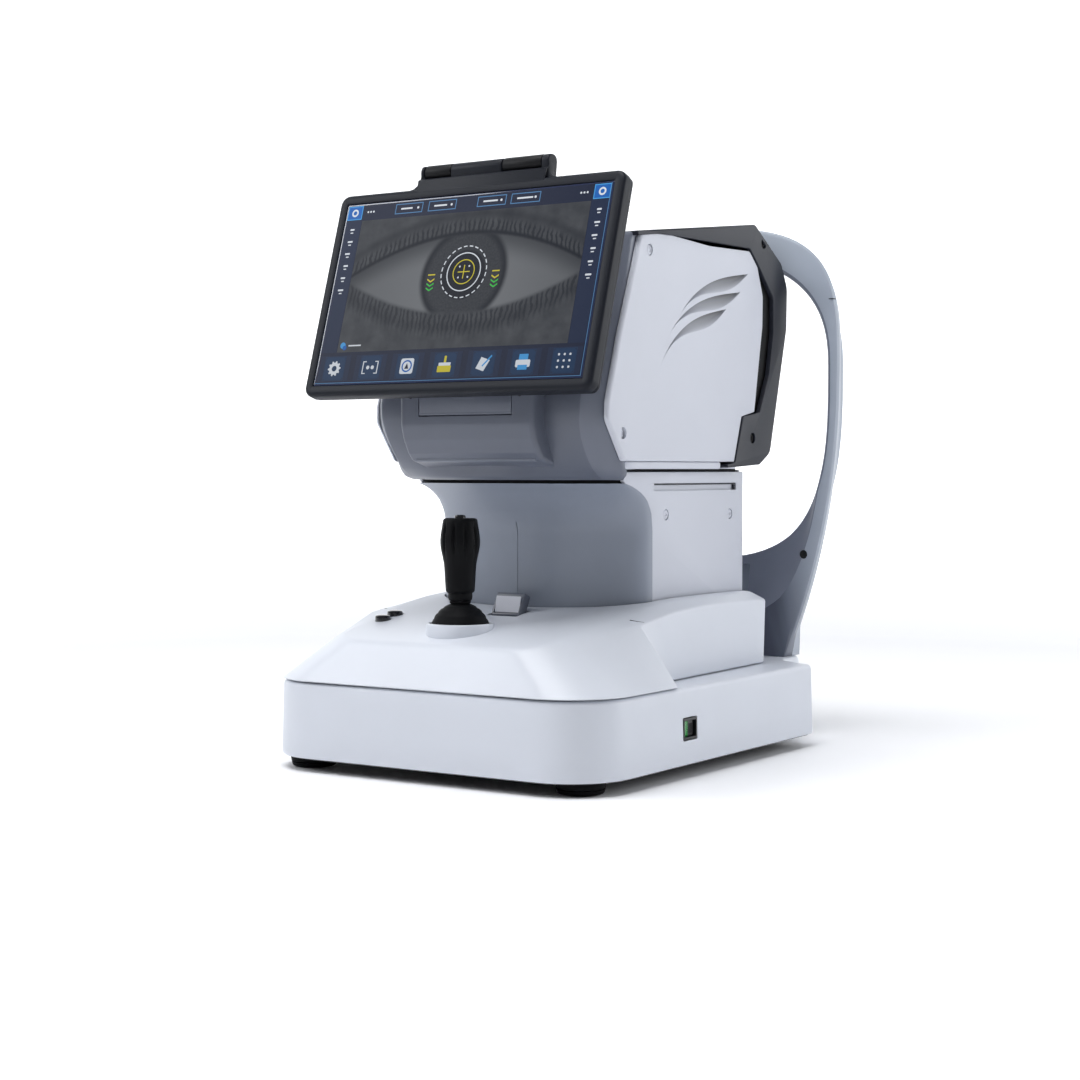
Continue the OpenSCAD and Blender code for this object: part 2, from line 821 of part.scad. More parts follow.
module head_side(x0, x1, face) {
    difference() {
        across(x0, x1) polygon(rounded(panel_outline));
        // louvre recesses open to the outer face
        across(face > 0 ? x1 - 1.6 : x0 - 1, face > 0 ? x1 + 1 : x0 + 1.6) {
            louvre([-9, 325], [86, 355], 16, 14);
            louvre([-25, 307], [74, 340], 16, 14);
            louvre([-35, 284], [52, 327], 18, 14);
        }
        for (p = [[-57, 362], [-92, 234]]) rod_x(x0 - 1, x1 + 1, p.x, p.y, 3);
    }
}

module head_right_panel() {
    color(LIGHT) head_side(head_hw - wall, head_hw, 1);
}

module head_left_panel() {
    color(LIGHT) head_side(-head_hw, -head_hw + wall, -1);
}

module head_rear_frame() {
    color(CHARCOAL) difference() {
        union() {
            across(-head_hw - 1, head_hw + 1) difference() {
                polygon(rounded(frame_outline));
                polygon(rounded(frame_inside));
            }
            mirrored_x() across(head_hw - 2, head_hw + 1) polygon(rounded(band_outline));
            // dark wall behind the gap at the side
            mirrored_x() across(head_hw - 9, head_hw - 6) intersection() {
                polygon(rounded(frame_outline));
                translate([gap_start, 200]) square([60, 200]);
            }
        }
        rod_y(100, 160, 0, axis_z, window_r);
        // openings in the bottom for the lift nut and the cables
        block([-16, 44, 205], [16, 76, 218]);
        rod_z(205, 218, 40, 60, 9);
        for (p = [[112, 381], [95, 233]]) rod_x(-head_hw - 3, head_hw + 3, p.x, p.y, 3);
    }
}

module window_ring() {
    color(BLACK) difference() {
        rod_y(136, 152, 0, axis_z, window_r);
        rod_y(135, 153, 0, axis_z, lens_r);
    }
}

module objective_lens() {
    color([0.6, 0.75, 0.85, 0.4]) rod_y(140, 146, 0, axis_z, lens_r);
}

module optics_tube() {
    color(BLACK) difference() {
        rod_y(-30, 136, 0, axis_z, tube_r);
        rod_y(-20, 137, 0, axis_z, tube_r - 4);
    }
}

module camera_module() {
    color(CHARCOAL) block([-24, -60, axis_z - 24], [24, -30, axis_z + 24]);
}

module head_board() {
    color(BOARD) {
        block([-70, -20, 345], [70, 80, 346.6]);
        for (i = [0:4]) block([-60 + i * 26, 0, 346.6], [-44 + i * 26, 20, 350]);
    }
}

module cover_screws() {
    color(STEEL) mirrored_x() {
        for (p = [[-57, 362], [-92, 234]]) rod_x(head_hw - wall, head_hw - 0.6, p.x, p.y, 2.9);
        for (p = [[112, 381], [95, 233]]) rod_x(head_hw - 2, head_hw - 0.2, p.x, p.y, 2.9);
    }
}

// Two arms that reach from the head's face to the screen's hinge
module hinge_arms() {
    color(BLACK) difference() {
        for (k = knuckles) {
            rod_x(k[0], k[1], hinge_y, hinge_z, hinge_r);
            across(k[0] + 2, k[1] - 2) polygon([
                [-80, 368], [-76, 371.2], [hinge_y + 9, hinge_z + 1], [hinge_y + 1, hinge_z + hinge_r - 0.2],
                [hinge_y - 1, hinge_z - 4], [hinge_y + 8, hinge_z - 7], [-88, 368]
            ]);
        }
        rod_x(-60, 60, hinge_y, hinge_z, 2.5 + run_gap);
    }
}

// ---------------------------------------------------------------- printer

roll_y = -90;
roll_z = 231;
bay_hw = 56;
bay_top = 264;
door_y = -139;
door_hw = 39;
door_top = 260.5;
door_r = 1.6;
door_pin_r = 1;
door_pivot_z = 248;

module printer_frame() {
    color(BLACK) {
        mirrored_x() block([34, -112, 211], [37, -66, 250]);
        block([-34, -112, 211], [34, -66, 213]);
        rod_x(-34, 34, roll_y, roll_z, 4);
    }
}

module paper_roll() {
    color([0.95, 0.95, 0.95]) difference() {
        rod_x(-28, 28, roll_y, roll_z, 17);
        rod_x(-29, 29, roll_y, roll_z, 4 + run_gap);
    }
}

module printer_door() {
    color(GREY) {
        block([-door_hw, door_y, door_pivot_z], [door_hw, door_y + 2 * door_r, door_top]);
        rod_x(-door_hw, door_hw, door_y + door_r, door_pivot_z, door_r);
        rod_x(-door_hw - 3.5, door_hw + 3.5, door_y + door_r, door_pivot_z, door_pin_r);
    }
}

// ---------------------------------------------------------------- screen

// Moves a slab drawn face down at the origin to the screen's place: u across, v up the face, w into it
module on_screen() {
    translate([0, screen_foot.x, screen_foot.y]) rotate([90 - screen_lean, 0, 0]) children();
}

module slab(w, h, r, v0, w0, t) {
    translate([0, v0, -w0 - t]) linear_extrude(t) polygon(rounded([
        [-w / 2, 0, r], [w / 2, 0, r], [w / 2, h, r], [-w / 2, h, r]
    ]));
}

module screen_bezel() {
    color(CHARCOAL) on_screen() difference() {
        slab(screen_w, screen_h, 7, 0, 0, bezel_t);
        slab(glass_w + 0.6, glass_h + 0.6, 1, (screen_h - glass_h) / 2 - 0.3, -1, 4.5);
        slab(glass_w - 8, glass_h - 8, 1, (screen_h - glass_h) / 2 + 4, 2, bezel_t);
    }
}

module display_panel() {
    color([0.10, 0.13, 0.25]) on_screen() slab(glass_w, glass_h, 1, (screen_h - glass_h) / 2, 0.5, 3);
}

module screen_back() {
    color(CHARCOAL) {
        on_screen() slab(screen_w - 2, screen_h - 2, 7, 1, bezel_t, back_t);
        // lugs that carry the hinge pin
        for (g = lugs) difference() {
            across(g[0], g[1]) polygon(rounded([
                [-112.4, 399.5, 0.4], [hinge_y - 6, hinge_z + 5.6, 4.4],
                [hinge_y + 5.6, hinge_z + 5.6, 4.4], [-110.8, 399, 0.4]
            ]));
            rod_x(-60, 60, hinge_y, hinge_z, 2.5);
        }
    }
}

module hinge_pin() {
    color(STEEL) rod_x(lugs[0][0] + 0.5, lugs[2][1] - 0.5, hinge_y, hinge_z, 2.5);
}

// ---------------------------------------------------------------- assembly

base_tub();
bottom_plate();
rubber_feet();
rack_rails();
power_supply();
base_board();
mains_inlet();
switch_frame();
power_rocker();
arch_front_shell();
arch_rear_shell();
arch_plugs();
forehead_pad();
chin_drive();
chin_post();
chin_cup();
carriage_frame();
axle_shaft();
axle_pinions();
carriage_bushes();
cross_rods();
stage_chassis();
stage_cover();
joystick_boss();
lift_motor();
lift_guides();
lift_screw();
lock_lever();
chin_up_button();
chin_down_button();
joystick_gimbal();
joystick_stick();
joystick_boot();
joystick_grip();
joystick_trigger();
head_chassis();
lift_bushes();
lift_nut();
neck_front_shell();
neck_right_panel();
neck_left_panel();
neck_rear_panel();
head_front_shell();
head_right_panel();
head_left_panel();
head_rear_frame();
window_ring();
objective_lens();
optics_tube();
camera_module();
head_board();
cover_screws();
hinge_arms();
printer_frame();
paper_roll();
printer_door();
screen_bezel();
screen_back();
display_panel();
hinge_pin();
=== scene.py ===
"""Autorefractor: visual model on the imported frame. Millimetres here, metres in Blender."""
import math

import bmesh
import bpy
from mathutils import Matrix, Vector


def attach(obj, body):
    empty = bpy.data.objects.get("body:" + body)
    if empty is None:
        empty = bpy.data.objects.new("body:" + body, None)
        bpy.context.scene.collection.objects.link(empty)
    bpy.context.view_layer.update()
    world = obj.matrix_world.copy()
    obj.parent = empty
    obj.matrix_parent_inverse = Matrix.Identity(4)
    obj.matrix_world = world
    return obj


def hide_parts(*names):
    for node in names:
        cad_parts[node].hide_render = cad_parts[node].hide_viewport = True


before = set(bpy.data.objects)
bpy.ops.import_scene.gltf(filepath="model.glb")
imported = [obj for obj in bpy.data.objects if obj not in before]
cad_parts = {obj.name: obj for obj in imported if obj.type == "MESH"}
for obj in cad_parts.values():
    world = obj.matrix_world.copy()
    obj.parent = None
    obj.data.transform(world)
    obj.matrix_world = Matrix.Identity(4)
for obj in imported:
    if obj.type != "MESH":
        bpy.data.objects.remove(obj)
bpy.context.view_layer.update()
MM = 0.001


# ------------------------------------------------------------------ shapes
def corner(a, b, c, r, n):
    """Points of the arc of radius r that rounds the corner at b."""
    a, b, c = Vector(a[:2]), Vector(b[:2]), Vector(c[:2])
    u, v = (a - b).normalized(), (c - b).normalized()
    half = math.acos(max(-1.0, min(1.0, u.dot(v)))) / 2
    if r <= 0 or half > 1.565:
        return [(b.x, b.y)]
    mid = b + (u + v).normalized() * (r / math.sin(half))
    d = r / math.tan(half)
    p, q = b + u * d - mid, b + v * d - mid
    start = math.atan2(p.y, p.x)
    turn = math.atan2(q.y, q.x) - start
    turn += 2 * math.pi if turn < -math.pi else -2 * math.pi if turn > math.pi else 0
    return [(mid.x + r * math.cos(start + turn * i / n), mid.y + r * math.sin(start + turn * i / n))
            for i in range(n + 1)]


def rounded(pts, n=8):
    """Outline with the corner at each (x, y, radius) rounded."""
    m = len(pts)
    out = []
    for i in range(m):
        out += corner(pts[i - 1], pts[i], pts[(i + 1) % m], pts[i][2], n)
    return out


def both_sides(half):
    """A right half outline and its mirror image on the left."""
    return list(half) + [(-p[0],) + tuple(p[1:]) for p in reversed(half)]


def spaced(outline, step):
    """The outline with extra points, so that no edge is longer than step."""
    out = []
    for i, a in enumerate(outline):
        b = outline[(i + 1) % len(outline)]
        k = max(1, math.ceil(math.dist(a, b) / step))
        out += [tuple(a[j] + (b[j] - a[j]) * t / k for j in range(2)) for t in range(k)]
    return out


def tidy(outline):
    """The outline without points that repeat their neighbour, anticlockwise."""
    out = [p for i, p in enumerate(outline) if math.dist(p, outline[i - 1]) > 1e-4]
    area = sum(a[0] * b[1] - b[0] * a[1] for a, b in zip(out, out[1:] + out[:1]))
    return out if area > 0 else out[::-1]


def shrink(outline, d):
    """The outline moved inwards by d, with the same number of points; d may be a list."""
    out, m = [], len(outline)
    for i, p in enumerate(outline):
        a, b = outline[i - 1], outline[(i + 1) % m]
        e = Vector((p[0] - a[0], p[1] - a[1])).normalized()
        f = Vector((b[0] - p[0], b[1] - p[1])).normalized()
        g = Vector((-e.y - f.y, e.x + f.x))
        g = g.normalized() if g.length > 1e-6 else Vector((-e.y, e.x))
        k = max(0.35, g.dot(Vector((-e.y, e.x))))
        dist = d[i] if isinstance(d, list) else d
        out.append((p[0] + g.x * dist / k, p[1] + g.y * dist / k))
    return out


def loft(rings, caps=(True, True)):
    """Closed rings of points joined one to the next, with the first and last filled in."""
    n = len(rings[0])
    v = [tuple(p) for r in rings for p in r]
    f = []
    for k in range(len(rings) - 1):
        for i in range(n):
            j = (i + 1) % n
            f.append((k * n + i, k * n + j, (k + 1) * n + j, (k + 1) * n + i))
    if caps[0]:
        f.append(tuple(range(n))[::-1])
    if caps[1]:
        f.append(tuple(range((len(rings) - 1) * n, len(rings) * n)))
    return v, f


def hoop(rings):
    """Rings joined one to the next, and the last back to the first."""
    return loft(rings + [rings[0]], (False, False))


def skin(outer, inner):
    """Two open sheets, each a list of rows of points, joined along their edges."""
    k, m = len(outer[0]), len(outer) * len(outer[0])
    f = []
    for s in range(len(outer) - 1):
        for a in range(s * k, s * k + k - 1):
            f += [(a, a + 1, a + k + 1, a + k), (m + a, m + a + k, m + a + k + 1, m + a + 1)]
        a, b = s * k, s * k + k - 1
        f += [(a, a + k, m + a + k, m + a), (b, m + b, m + b + k, b + k)]
    for a in range(k - 1):
        b = m - k + a
        f += [(a, m + a, m + a + 1, a + 1), (b, b + 1, m + b + 1, m + b)]
    return [tuple(p) for r in outer + inner for p in r], f


def put(p, axis, h):
    """The outline point p at height h along the axis."""
    return {"x": (h, p[0], p[1]), "y": (p[0], h, p[1]), "z": (p[0], p[1], h)}[axis]


def prism(outline, axis, lo, hi, edge=0.0, steps=3, low_edge=None):
    """Outline made solid along an axis, with its ends rounded over by edge."""
    outline = tidy(outline)
    low = edge if low_edge is None else low_edge
    turn = [math.pi / 2 * i / steps for i in range(steps + 1)]
    first = [(lo + low * (1 - math.cos(t)), low * (1 - math.sin(t))) for t in turn] if low > 0 else [(lo, 0)]
    last = [(hi - edge * (1 - math.cos(t)), edge * (1 - math.sin(t))) for t in reversed(turn)]
    rings = first + (last if edge > 0 else [(hi, 0)])
    return loft([[put(p, axis, h) for p in (shrink(outline, d) if d > 1e-6 else outline)] for h, d in rings])


def lathe(profile, n=48, at=(0, 0, 0), axis="z", lobes=None):
    """Profile of (radius, height) turned round an axis through at. lobes(height, angle) scales the radius."""
    rings = []
    for r, h in profile:
        ring = []
        for i in range(n):
            a = 2 * math.pi * i / n
            s = r * (lobes(h, a) if lobes else 1)
            p = (s * math.cos(a), s * math.sin(a))
            q = {"z": (p[0], p[1], h), "y": (p[0], h, p[1]), "x": (h, p[0], p[1])}[axis]
            ring.append((at[0] + q[0], at[1] + q[1], at[2] + q[2]))
        rings.append(ring)
    is_open = math.dist(profile[0], profile[-1]) > 1e-6
    return loft(rings, (is_open, is_open))


def rod(axis, lo, hi, at, r, edge=0.4, n=32):
    """A round bar along an axis, with eased ends."""
    e = min(edge, r * 0.4, abs(hi - lo) * 0.4)
    return lathe([(r - e, lo), (r - 0.3 * e, lo + 0.3 * e), (r, lo + e), (r, hi - e),
                  (r - 0.3 * e, hi - 0.3 * e), (r - e, hi)], n, at, axis)


def brick(lo, hi, r=1.0, edge=0.5, axis="z"):
    """Box with rounded upright edges and eased ends."""
    i, j = {"x": (1, 2), "y": (0, 2), "z": (0, 1)}[axis]
    k = "xyz".index(axis)
    out = rounded([(lo[i], lo[j], r), (hi[i], lo[j], r), (hi[i], hi[j], r), (lo[i], hi[j], r)], 4)
    return prism(out, axis, lo[k], hi[k], edge, 2)


def mirror(vf):
    """The same shape on the other side of the object."""
    return [(-p[0], p[1], p[2]) for p in vf[0]], [tuple(reversed(g)) for g in vf[1]]


def bend(a, b, c, d, n=4):
    """Points that round the corner at b, starting d before it and ending d after it, in space."""
    a, b, c = Vector(a), Vector(b), Vector(c)
    d1, d2 = min(d, (a - b).length * 0.45), min(d, (c - b).length * 0.45)
    p, q = b + (a - b).normalized() * d1, b + (c - b).normalized() * d2
    return [p * (1 - t) ** 2 + b * 2 * t * (1 - t) + q * t * t for t in (i / n for i in range(n + 1))]


class Solid:
    """Points, faces and each face's material number."""

    def __init__(self, *parts):
        self.v, self.f, self.m = [], [], []
        for p in parts:
            self.add(p)

    def add(self, vf, m=0):
        k = len(self.v)
        self.v += [tuple(p) for p in vf[0]]
        self.f += [tuple(i + k for i in g) for g in vf[1]]
        self.m += [m] * len(vf[1])
        return self

    def pair(self, vf, m=0):
        return self.add(vf, m).add(mirror(vf), m)

    def on(self, side):
        """This solid on the right (1), or its mirror image on the left (-1)."""
        return self if side > 0 else Solid(mirror((self.v, self.f)))


def raw(name, solid, mats=()):
    """A mesh object with its doubles merged and every face turned outwards."""
    me = bpy.data.meshes.new(name)
    me.from_pydata([(p[0] * MM, p[1] * MM, p[2] * MM) for p in solid.v], [], solid.f)
    for mat in mats:
        me.materials.append(mat)
    for p, m in zip(me.polygons, solid.m):
        p.material_index = m
    bm = bmesh.new()
    bm.from_mesh(me)
    bmesh.ops.remove_doubles(bm, verts=bm.verts, dist=2e-6)
    bmesh.ops.dissolve_degenerate(bm, edges=bm.edges, dist=1e-7)
    bmesh.ops.recalc_face_normals(bm, faces=bm.faces)
    if bm.calc_volume(signed=True) < 0:
        bmesh.ops.reverse_faces(bm, faces=bm.faces)
    bm.to_mesh(me)
    bm.free()
    obj = bpy.data.objects.new(name, me)
    bpy.context.scene.collection.objects.link(obj)
    return obj


def carve(obj, cutter):
    """Cuts the cutter's shape out of obj, for good."""
    tool = raw("cutter", cutter)
    mod = obj.modifiers.new("cut", "BOOLEAN")
    mod.operation, mod.solver, mod.object = "DIFFERENCE", "EXACT", tool
    old = obj.data
    obj.data = bpy.data.meshes.new_from_object(obj.evaluated_get(bpy.context.evaluated_depsgraph_get()))
    obj.modifiers.clear()
    bpy.data.meshes.remove(old)
    bpy.data.objects.remove(tool)
    if not obj.data.polygons:
        raise ValueError(obj.name + " was cut away completely")


def make(name, solid, body, mats, replaces=(), cut=None, bevel=0.0, sharp=32):
    """A piece of the object that rides on a CAD body."""
    mats = mats if isinstance(mats, (list, tuple)) else [mats]
    obj = raw(name, solid, mats)
    for c in ([cut] if isinstance(cut, Solid) else cut or []):
        carve(obj, c)
    obj.data.name = name
    obj.data.shade_smooth()
    obj.data.set_sharp_from_angle(angle=math.radians(sharp))
    if bevel:
        b = obj.modifiers.new("edges", "BEVEL")
        b.width, b.segments, b.limit_method = bevel * MM, 2, "ANGLE"
        b.angle_limit = math.radians(32)
        b.use_clamp_overlap = True
        b.miter_outer = "MITER_ARC"
        w = obj.modifiers.new("shading", "WEIGHTED_NORMAL")
        w.keep_sharp = False
        for e in obj.data.edges:
            e.use_edge_sharp = False
    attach(obj, body)
    if replaces:
        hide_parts(*([replaces] if isinstance(replaces, str) else replaces))
    return obj


# ------------------------------------------------------------------ materials
def srgb(r, g, b):
    """A screen colour, 0 to 255, as the linear colour that a shader takes."""
    return tuple(((c / 255 + 0.055) / 1.055) ** 2.4 if c > 10 else c / 255 / 12.92
                 for c in (r, g, b)) + (1.0,)


def fill(tree, node, inputs):
    """Sets a node's inputs to numbers, colours or other nodes' outputs."""
    for key, value in inputs.items():
        if isinstance(value, bpy.types.NodeSocket):
            tree.links.new(value, node.inputs[key])
        else:
            node.inputs[key].default_value = value


def shader(tree, kind, inputs, **settings):
    """Adds a shader node to the tree."""
    node = tree.nodes.new("ShaderNode" + kind)
    for key, value in settings.items():
        setattr(node, key, value)
    fill(tree, node, inputs)
    return node


def new_material(name):
    """A new material, its node tree and its surface node."""
    mat = bpy.data.materials.new(name)
    mat.use_nodes = True
    return mat, mat.node_tree, mat.node_tree.nodes["Principled BSDF"]


def finish_of(name, rgb, rough=0.4, metal=0.0, vary=0.03, grain=0.05, size=1500.0, coat=0.0, spec=0.5,
              brushed=None, glow=0.0):
    """Moulded, painted or metal finish: uneven colour and gloss, and a fine surface texture."""
    mat, tree, bsdf = new_material(name)
    fill(tree, bsdf, {"Metallic": metal, "Specular IOR Level": spec, "Coat Weight": coat,
                      "Coat Roughness": 0.12})
    source = shader(tree, "TexCoord", {}).outputs["Object"]
    if brushed:
        source = shader(tree, "Mapping", {"Scale": brushed, "Vector": source}).outputs["Vector"]
    broad = shader(tree, "TexNoise", {"Scale": 14.0, "Detail": 4.0, "Vector": source})
    ramp = shader(tree, "ValToRGB", {"Fac": broad.outputs["Fac"]})
    for element, at, tone in zip(ramp.color_ramp.elements, (0.35, 0.65), (1 - vary, 1 + vary)):
        element.position = at
        element.color = tuple(min(1, c * tone) for c in srgb(*rgb)[:3]) + (1,)
    fill(tree, bsdf, {"Base Color": ramp.outputs["Color"]})
    fine = shader(tree, "TexNoise", {"Scale": size, "Detail": 2.0, "Vector": source})
    gloss = shader(tree, "MapRange", {"To Min": max(0.02, rough - 0.05), "To Max": min(1.0, rough + 0.06),
                                      "Value": fine.outputs["Fac"]})
    fill(tree, bsdf, {"Roughness": gloss.outputs["Result"]})
    if grain:
        bump = shader(tree, "Bump", {"Strength": grain, "Distance": 0.0002, "Height": fine.outputs["Fac"]})
        fill(tree, bsdf, {"Normal": bump.outputs["Normal"]})
    if glow:
        fill(tree, bsdf, {"Emission Color": ramp.outputs["Color"], "Emission Strength": glow})
    return mat


LIGHT = finish_of("light_plastic", (214, 218, 227), 0.38, vary=0.012, grain=0.04)
SIDE = finish_of("side_plastic", (204, 207, 217), 0.42, vary=0.012, grain=0.05)
NECK = finish_of("neck_grey", (140, 147, 161), 0.36, vary=0.015, grain=0.04)
# grey plastic, darkened in part as painted shade: the head front lies in the screen's shadow
HEAD_GREY_WITH_SHADE = finish_of("head_grey_with_painted_shade", (96, 101, 114), 0.34, vary=0.02, grain=0.05)
# a mid grey as painted light and shade: lighter than the head grey on the head front's side strips and the
# printer lip, darker than the side panels under the tray
GREY_LIGHT_AND_SHADE = finish_of("grey_painted_light_and_shade", (108, 113, 126), 0.38, vary=0.015, grain=0.04)
ARCH = finish_of("arch_grey", (164, 172, 185), 0.36, vary=0.02, grain=0.04)
# a darker copy of the arch grey: painted shade for the hollow under the opening
ARCH_SHADED_GREY = finish_of("arch_grey_painted_shade", (112, 118, 134), 0.4, vary=0.02, grain=0.05)
CHARCOAL = finish_of("charcoal", (33, 36, 46), 0.45, vary=0.03, grain=0.08, spec=0.35)
BEZEL = finish_of("bezel_charcoal", (23, 26, 34), 0.46, vary=0.03, grain=0.04, spec=0.2)
BLACK = finish_of("black_plastic", (14, 15, 20), 0.38, vary=0.05, grain=0.08)
# near black for seams, gaps and holes: painted shadow in them
BLACK_FOR_GAPS_AND_SHADE = finish_of("black_for_gaps_and_shade", (6, 7, 10), 0.8, vary=0.1, grain=0.02)
GLOSS = finish_of("black_gloss", (14, 15, 20), 0.12, vary=0.03, grain=0.0, coat=0.6)
RUBBER = finish_of("black_rubber", (9, 10, 13), 0.58, vary=0.06, grain=0.15, size=2500, spec=0.1)
GRIP = finish_of("grip_black", (7, 8, 11), 0.5, vary=0.05, grain=0.08, spec=0.12)
HINGE = finish_of("hinge_black", (10, 11, 15), 0.5, vary=0.05, grain=0.05, spec=0.22)
LEVERFACE = finish_of("lever_face_grey", (214, 216, 226), 0.4, vary=0.015, grain=0.04)
GREEN = finish_of("green_plastic", (14, 118, 42), 0.25, vary=0.04, grain=0.03, coat=0.3, glow=0.25)
STEEL = finish_of("steel", (176, 179, 186), 0.28, metal=1.0, vary=0.05, grain=0.03, brushed=(1, 1, 30))
ALU = finish_of("aluminium", (190, 193, 198), 0.35, metal=1.0, vary=0.04, grain=0.04, brushed=(1, 25, 1))
BRASS = finish_of("brass", (198, 164, 92), 0.3, metal=1.0, vary=0.06, grain=0.03)
BOARD = finish_of("circuit_board", (20, 84, 58), 0.35, vary=0.12, grain=0.1)
GLASS = finish_of("coated_glass", (38, 46, 74), 0.06, vary=0.08, grain=0.0, coat=0.8)
LENS = finish_of("lens_glass", (30, 34, 62), 0.04, vary=0.3, grain=0.0, coat=1.0)
PAPER = finish_of("paper", (236, 236, 232), 0.8, vary=0.02, grain=0.1)
PAD = finish_of("pad_vinyl", (44, 46, 54), 0.5, vary=0.05, grain=0.35, size=900)


def with_painted_shade(base, name, dark):
    """The finish, mixed towards the given tone as the stored shade value rises: painted shade, and painted
    light where that tone is lighter.
    """
    mat = base.copy()
    mat.name = name
    tree = mat.node_tree
    bsdf = tree.nodes["Principled BSDF"]
    attr = shader(tree, "Attribute", {}, attribute_name="painted_shade")
    mix = shader(tree, "Mix", {"Factor": attr.outputs["Fac"],
                               "A": bsdf.inputs["Base Color"].links[0].from_socket, "B": srgb(*dark)},
                 data_type="RGBA")
    fill(tree, bsdf, {"Base Color": mix.outputs["Result"]})
    return mat


def set_painted_shade(obj, value):
    """Stores value(x, y, z), from 0 to 1, on every point of the piece, as the amount of painted shade."""
    layer = obj.data.attributes.new("painted_shade", "FLOAT", "POINT")
    for vert in obj.data.vertices:
        layer.data[vert.index].value = min(1.0, max(0.0, value(*(c / MM for c in vert.co))))


# painted shade: the louvre scoops darken towards their upper edge and tip
LOUVRE_PAINTED_SHADE = with_painted_shade(SIDE, "louvre_painted_shade", (24, 26, 34))
# painted shading on the arch: its face darkens towards the lower middle, its hollow lightens there
ARCH_FACE_PAINTED_SHADE = with_painted_shade(ARCH, "arch_face_painted_shade", (84, 89, 104))
ARCH_HOLLOW_PAINTED_SHADE = with_painted_shade(ARCH_SHADED_GREY, "arch_hollow_painted_shade", (124, 130, 146))

# What shows of the CAD takes a finish too
CAD_FINISH = {
    "bottom_plate": BLACK, "rack_rails": BRASS, "power_supply": ALU, "base_board": BOARD,
    "carriage_frame": ALU, "axle_shaft": STEEL, "axle_pinions": BRASS, "carriage_bushes": BRASS,
    "cross_rods": STEEL, "stage_chassis": ALU, "lift_motor": BLACK, "lift_guides": STEEL, "lift_screw": STEEL,
    "joystick_gimbal": STEEL, "joystick_stick": STEEL, "lift_bushes": BRASS, "lift_nut": BRASS,
    "optics_tube": BLACK, "camera_module": CHARCOAL, "head_board": BOARD, "printer_frame": BLACK,
    "paper_roll": PAPER, "chin_drive": ALU, "chin_post": STEEL, "hinge_pin": STEEL,
}
for node_name, mat in CAD_FINISH.items():
    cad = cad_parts[node_name]
    if not cad.material_slots:
        cad.data.materials.append(mat)
    for cad_slot in cad.material_slots:
        cad_slot.link = "OBJECT"
        cad_slot.material = mat

# ------------------------------------------------------------------ base
BASE = tidy(rounded(both_sides([(140, -196, 45), (140, 120, 8), (104, 140, 20), (104, 196, 35)]), 14))
TUB_LIP = 9
SWITCH_Y = -70.5
SWITCH_AXIS = (135, SWITCH_Y, 0)


def base_rings(steps):
    """The base outline at each (height, distance inwards)."""
    return [[(p[0], p[1], z) for p in shrink(BASE, d)] for z, d in steps]


outer = [(TUB_LIP, 1.2), (9.6, 0.4), (11, 0.0), (30, 0.5), (50, 1.0), (58.2, 1.3), (59.8, 1.7), (61.0, 2.7),
         (61.55, 3.9), (61.7, 5.2)]
tub = loft(base_rings(outer), (False, True))
lining = loft(base_rings([(58.7, 5.2), (58.0, 4.2), (TUB_LIP, 3.4)]), (True, False))
rim = loft(base_rings([(TUB_LIP, 1.2), (TUB_LIP, 3.4)]), (False, False))
# openings for the switch, the inlet and the cables
holes = Solid(brick((130, SWITCH_Y - 10, 25.5), (145, SWITCH_Y + 10, 41.5), 1.2, 0, "x"),
              brick((-14, 185, 21), (14, 200, 43), 2, 0, "y"),
              rod("z", 55, 65, (0, 60, 0), 8, 0), rod("z", 55, 65, (40, 173, 0), 5, 0))
make("base_tub_shell", Solid(tub, lining, rim), "base", LIGHT, "base_tub", holes)

feet = Solid()
for fx, fy in ((112, -166), (86, 166)):
    feet.pair(lathe([(14.2, 0.0), (15.2, 0.5), (15.6, 1.4), (16.0, 3.0), (15.4, 3.4), (16.1, 3.8),
                     (16.7, 7.4), (16.2, 8.0)], 48, (fx, fy, 0)))
make("feet", feet, "base", RUBBER, "rubber_feet", sharp=50)

# switch: a frame with the rocker's opening and its pin hole, and a rocker with a green and a black half
make("switch_surround", Solid(brick((126, -79.8, 26.2), (139.6, -61.2, 40.8), 1.4, 0.5, "x")), "base",
     BLACK, "switch_frame",
     Solid(brick((129, -78.3, 27.8), (141, -62.7, 39.2), 0.8, 0, "x"),
           rod("z", 26.6, 40.4, SWITCH_AXIS, 1.35, 0)))
green_half = [(133, -76.5), (138.0, -77.1), (138.3, -76.6), (137.3, SWITCH_Y), (133, SWITCH_Y)]
black_half = [(133, -70.4), (137.25, -70.4), (137.7, -64.4), (137.3, -63.9), (133, -64.5)]
rocker = Solid()
for colour, outline in enumerate((green_half, black_half)):
    rocker.add(prism(outline, "z", 28.1, 38.9, 0.5, 2), colour)
for i in range(3):
    rocker.add(brick((136.9, -68.9 + 1.5 * i, 30), (137.7 + 0.12 * i, -68.3 + 1.5 * i, 37), 0.2, 0.1), 1)
rocker.add(rod("z", 26.9, 40.1, SWITCH_AXIS, 1.2, 0.1, 20), 0)
make("rocker_key", rocker, "rocker", [GREEN, BLACK], "power_rocker")

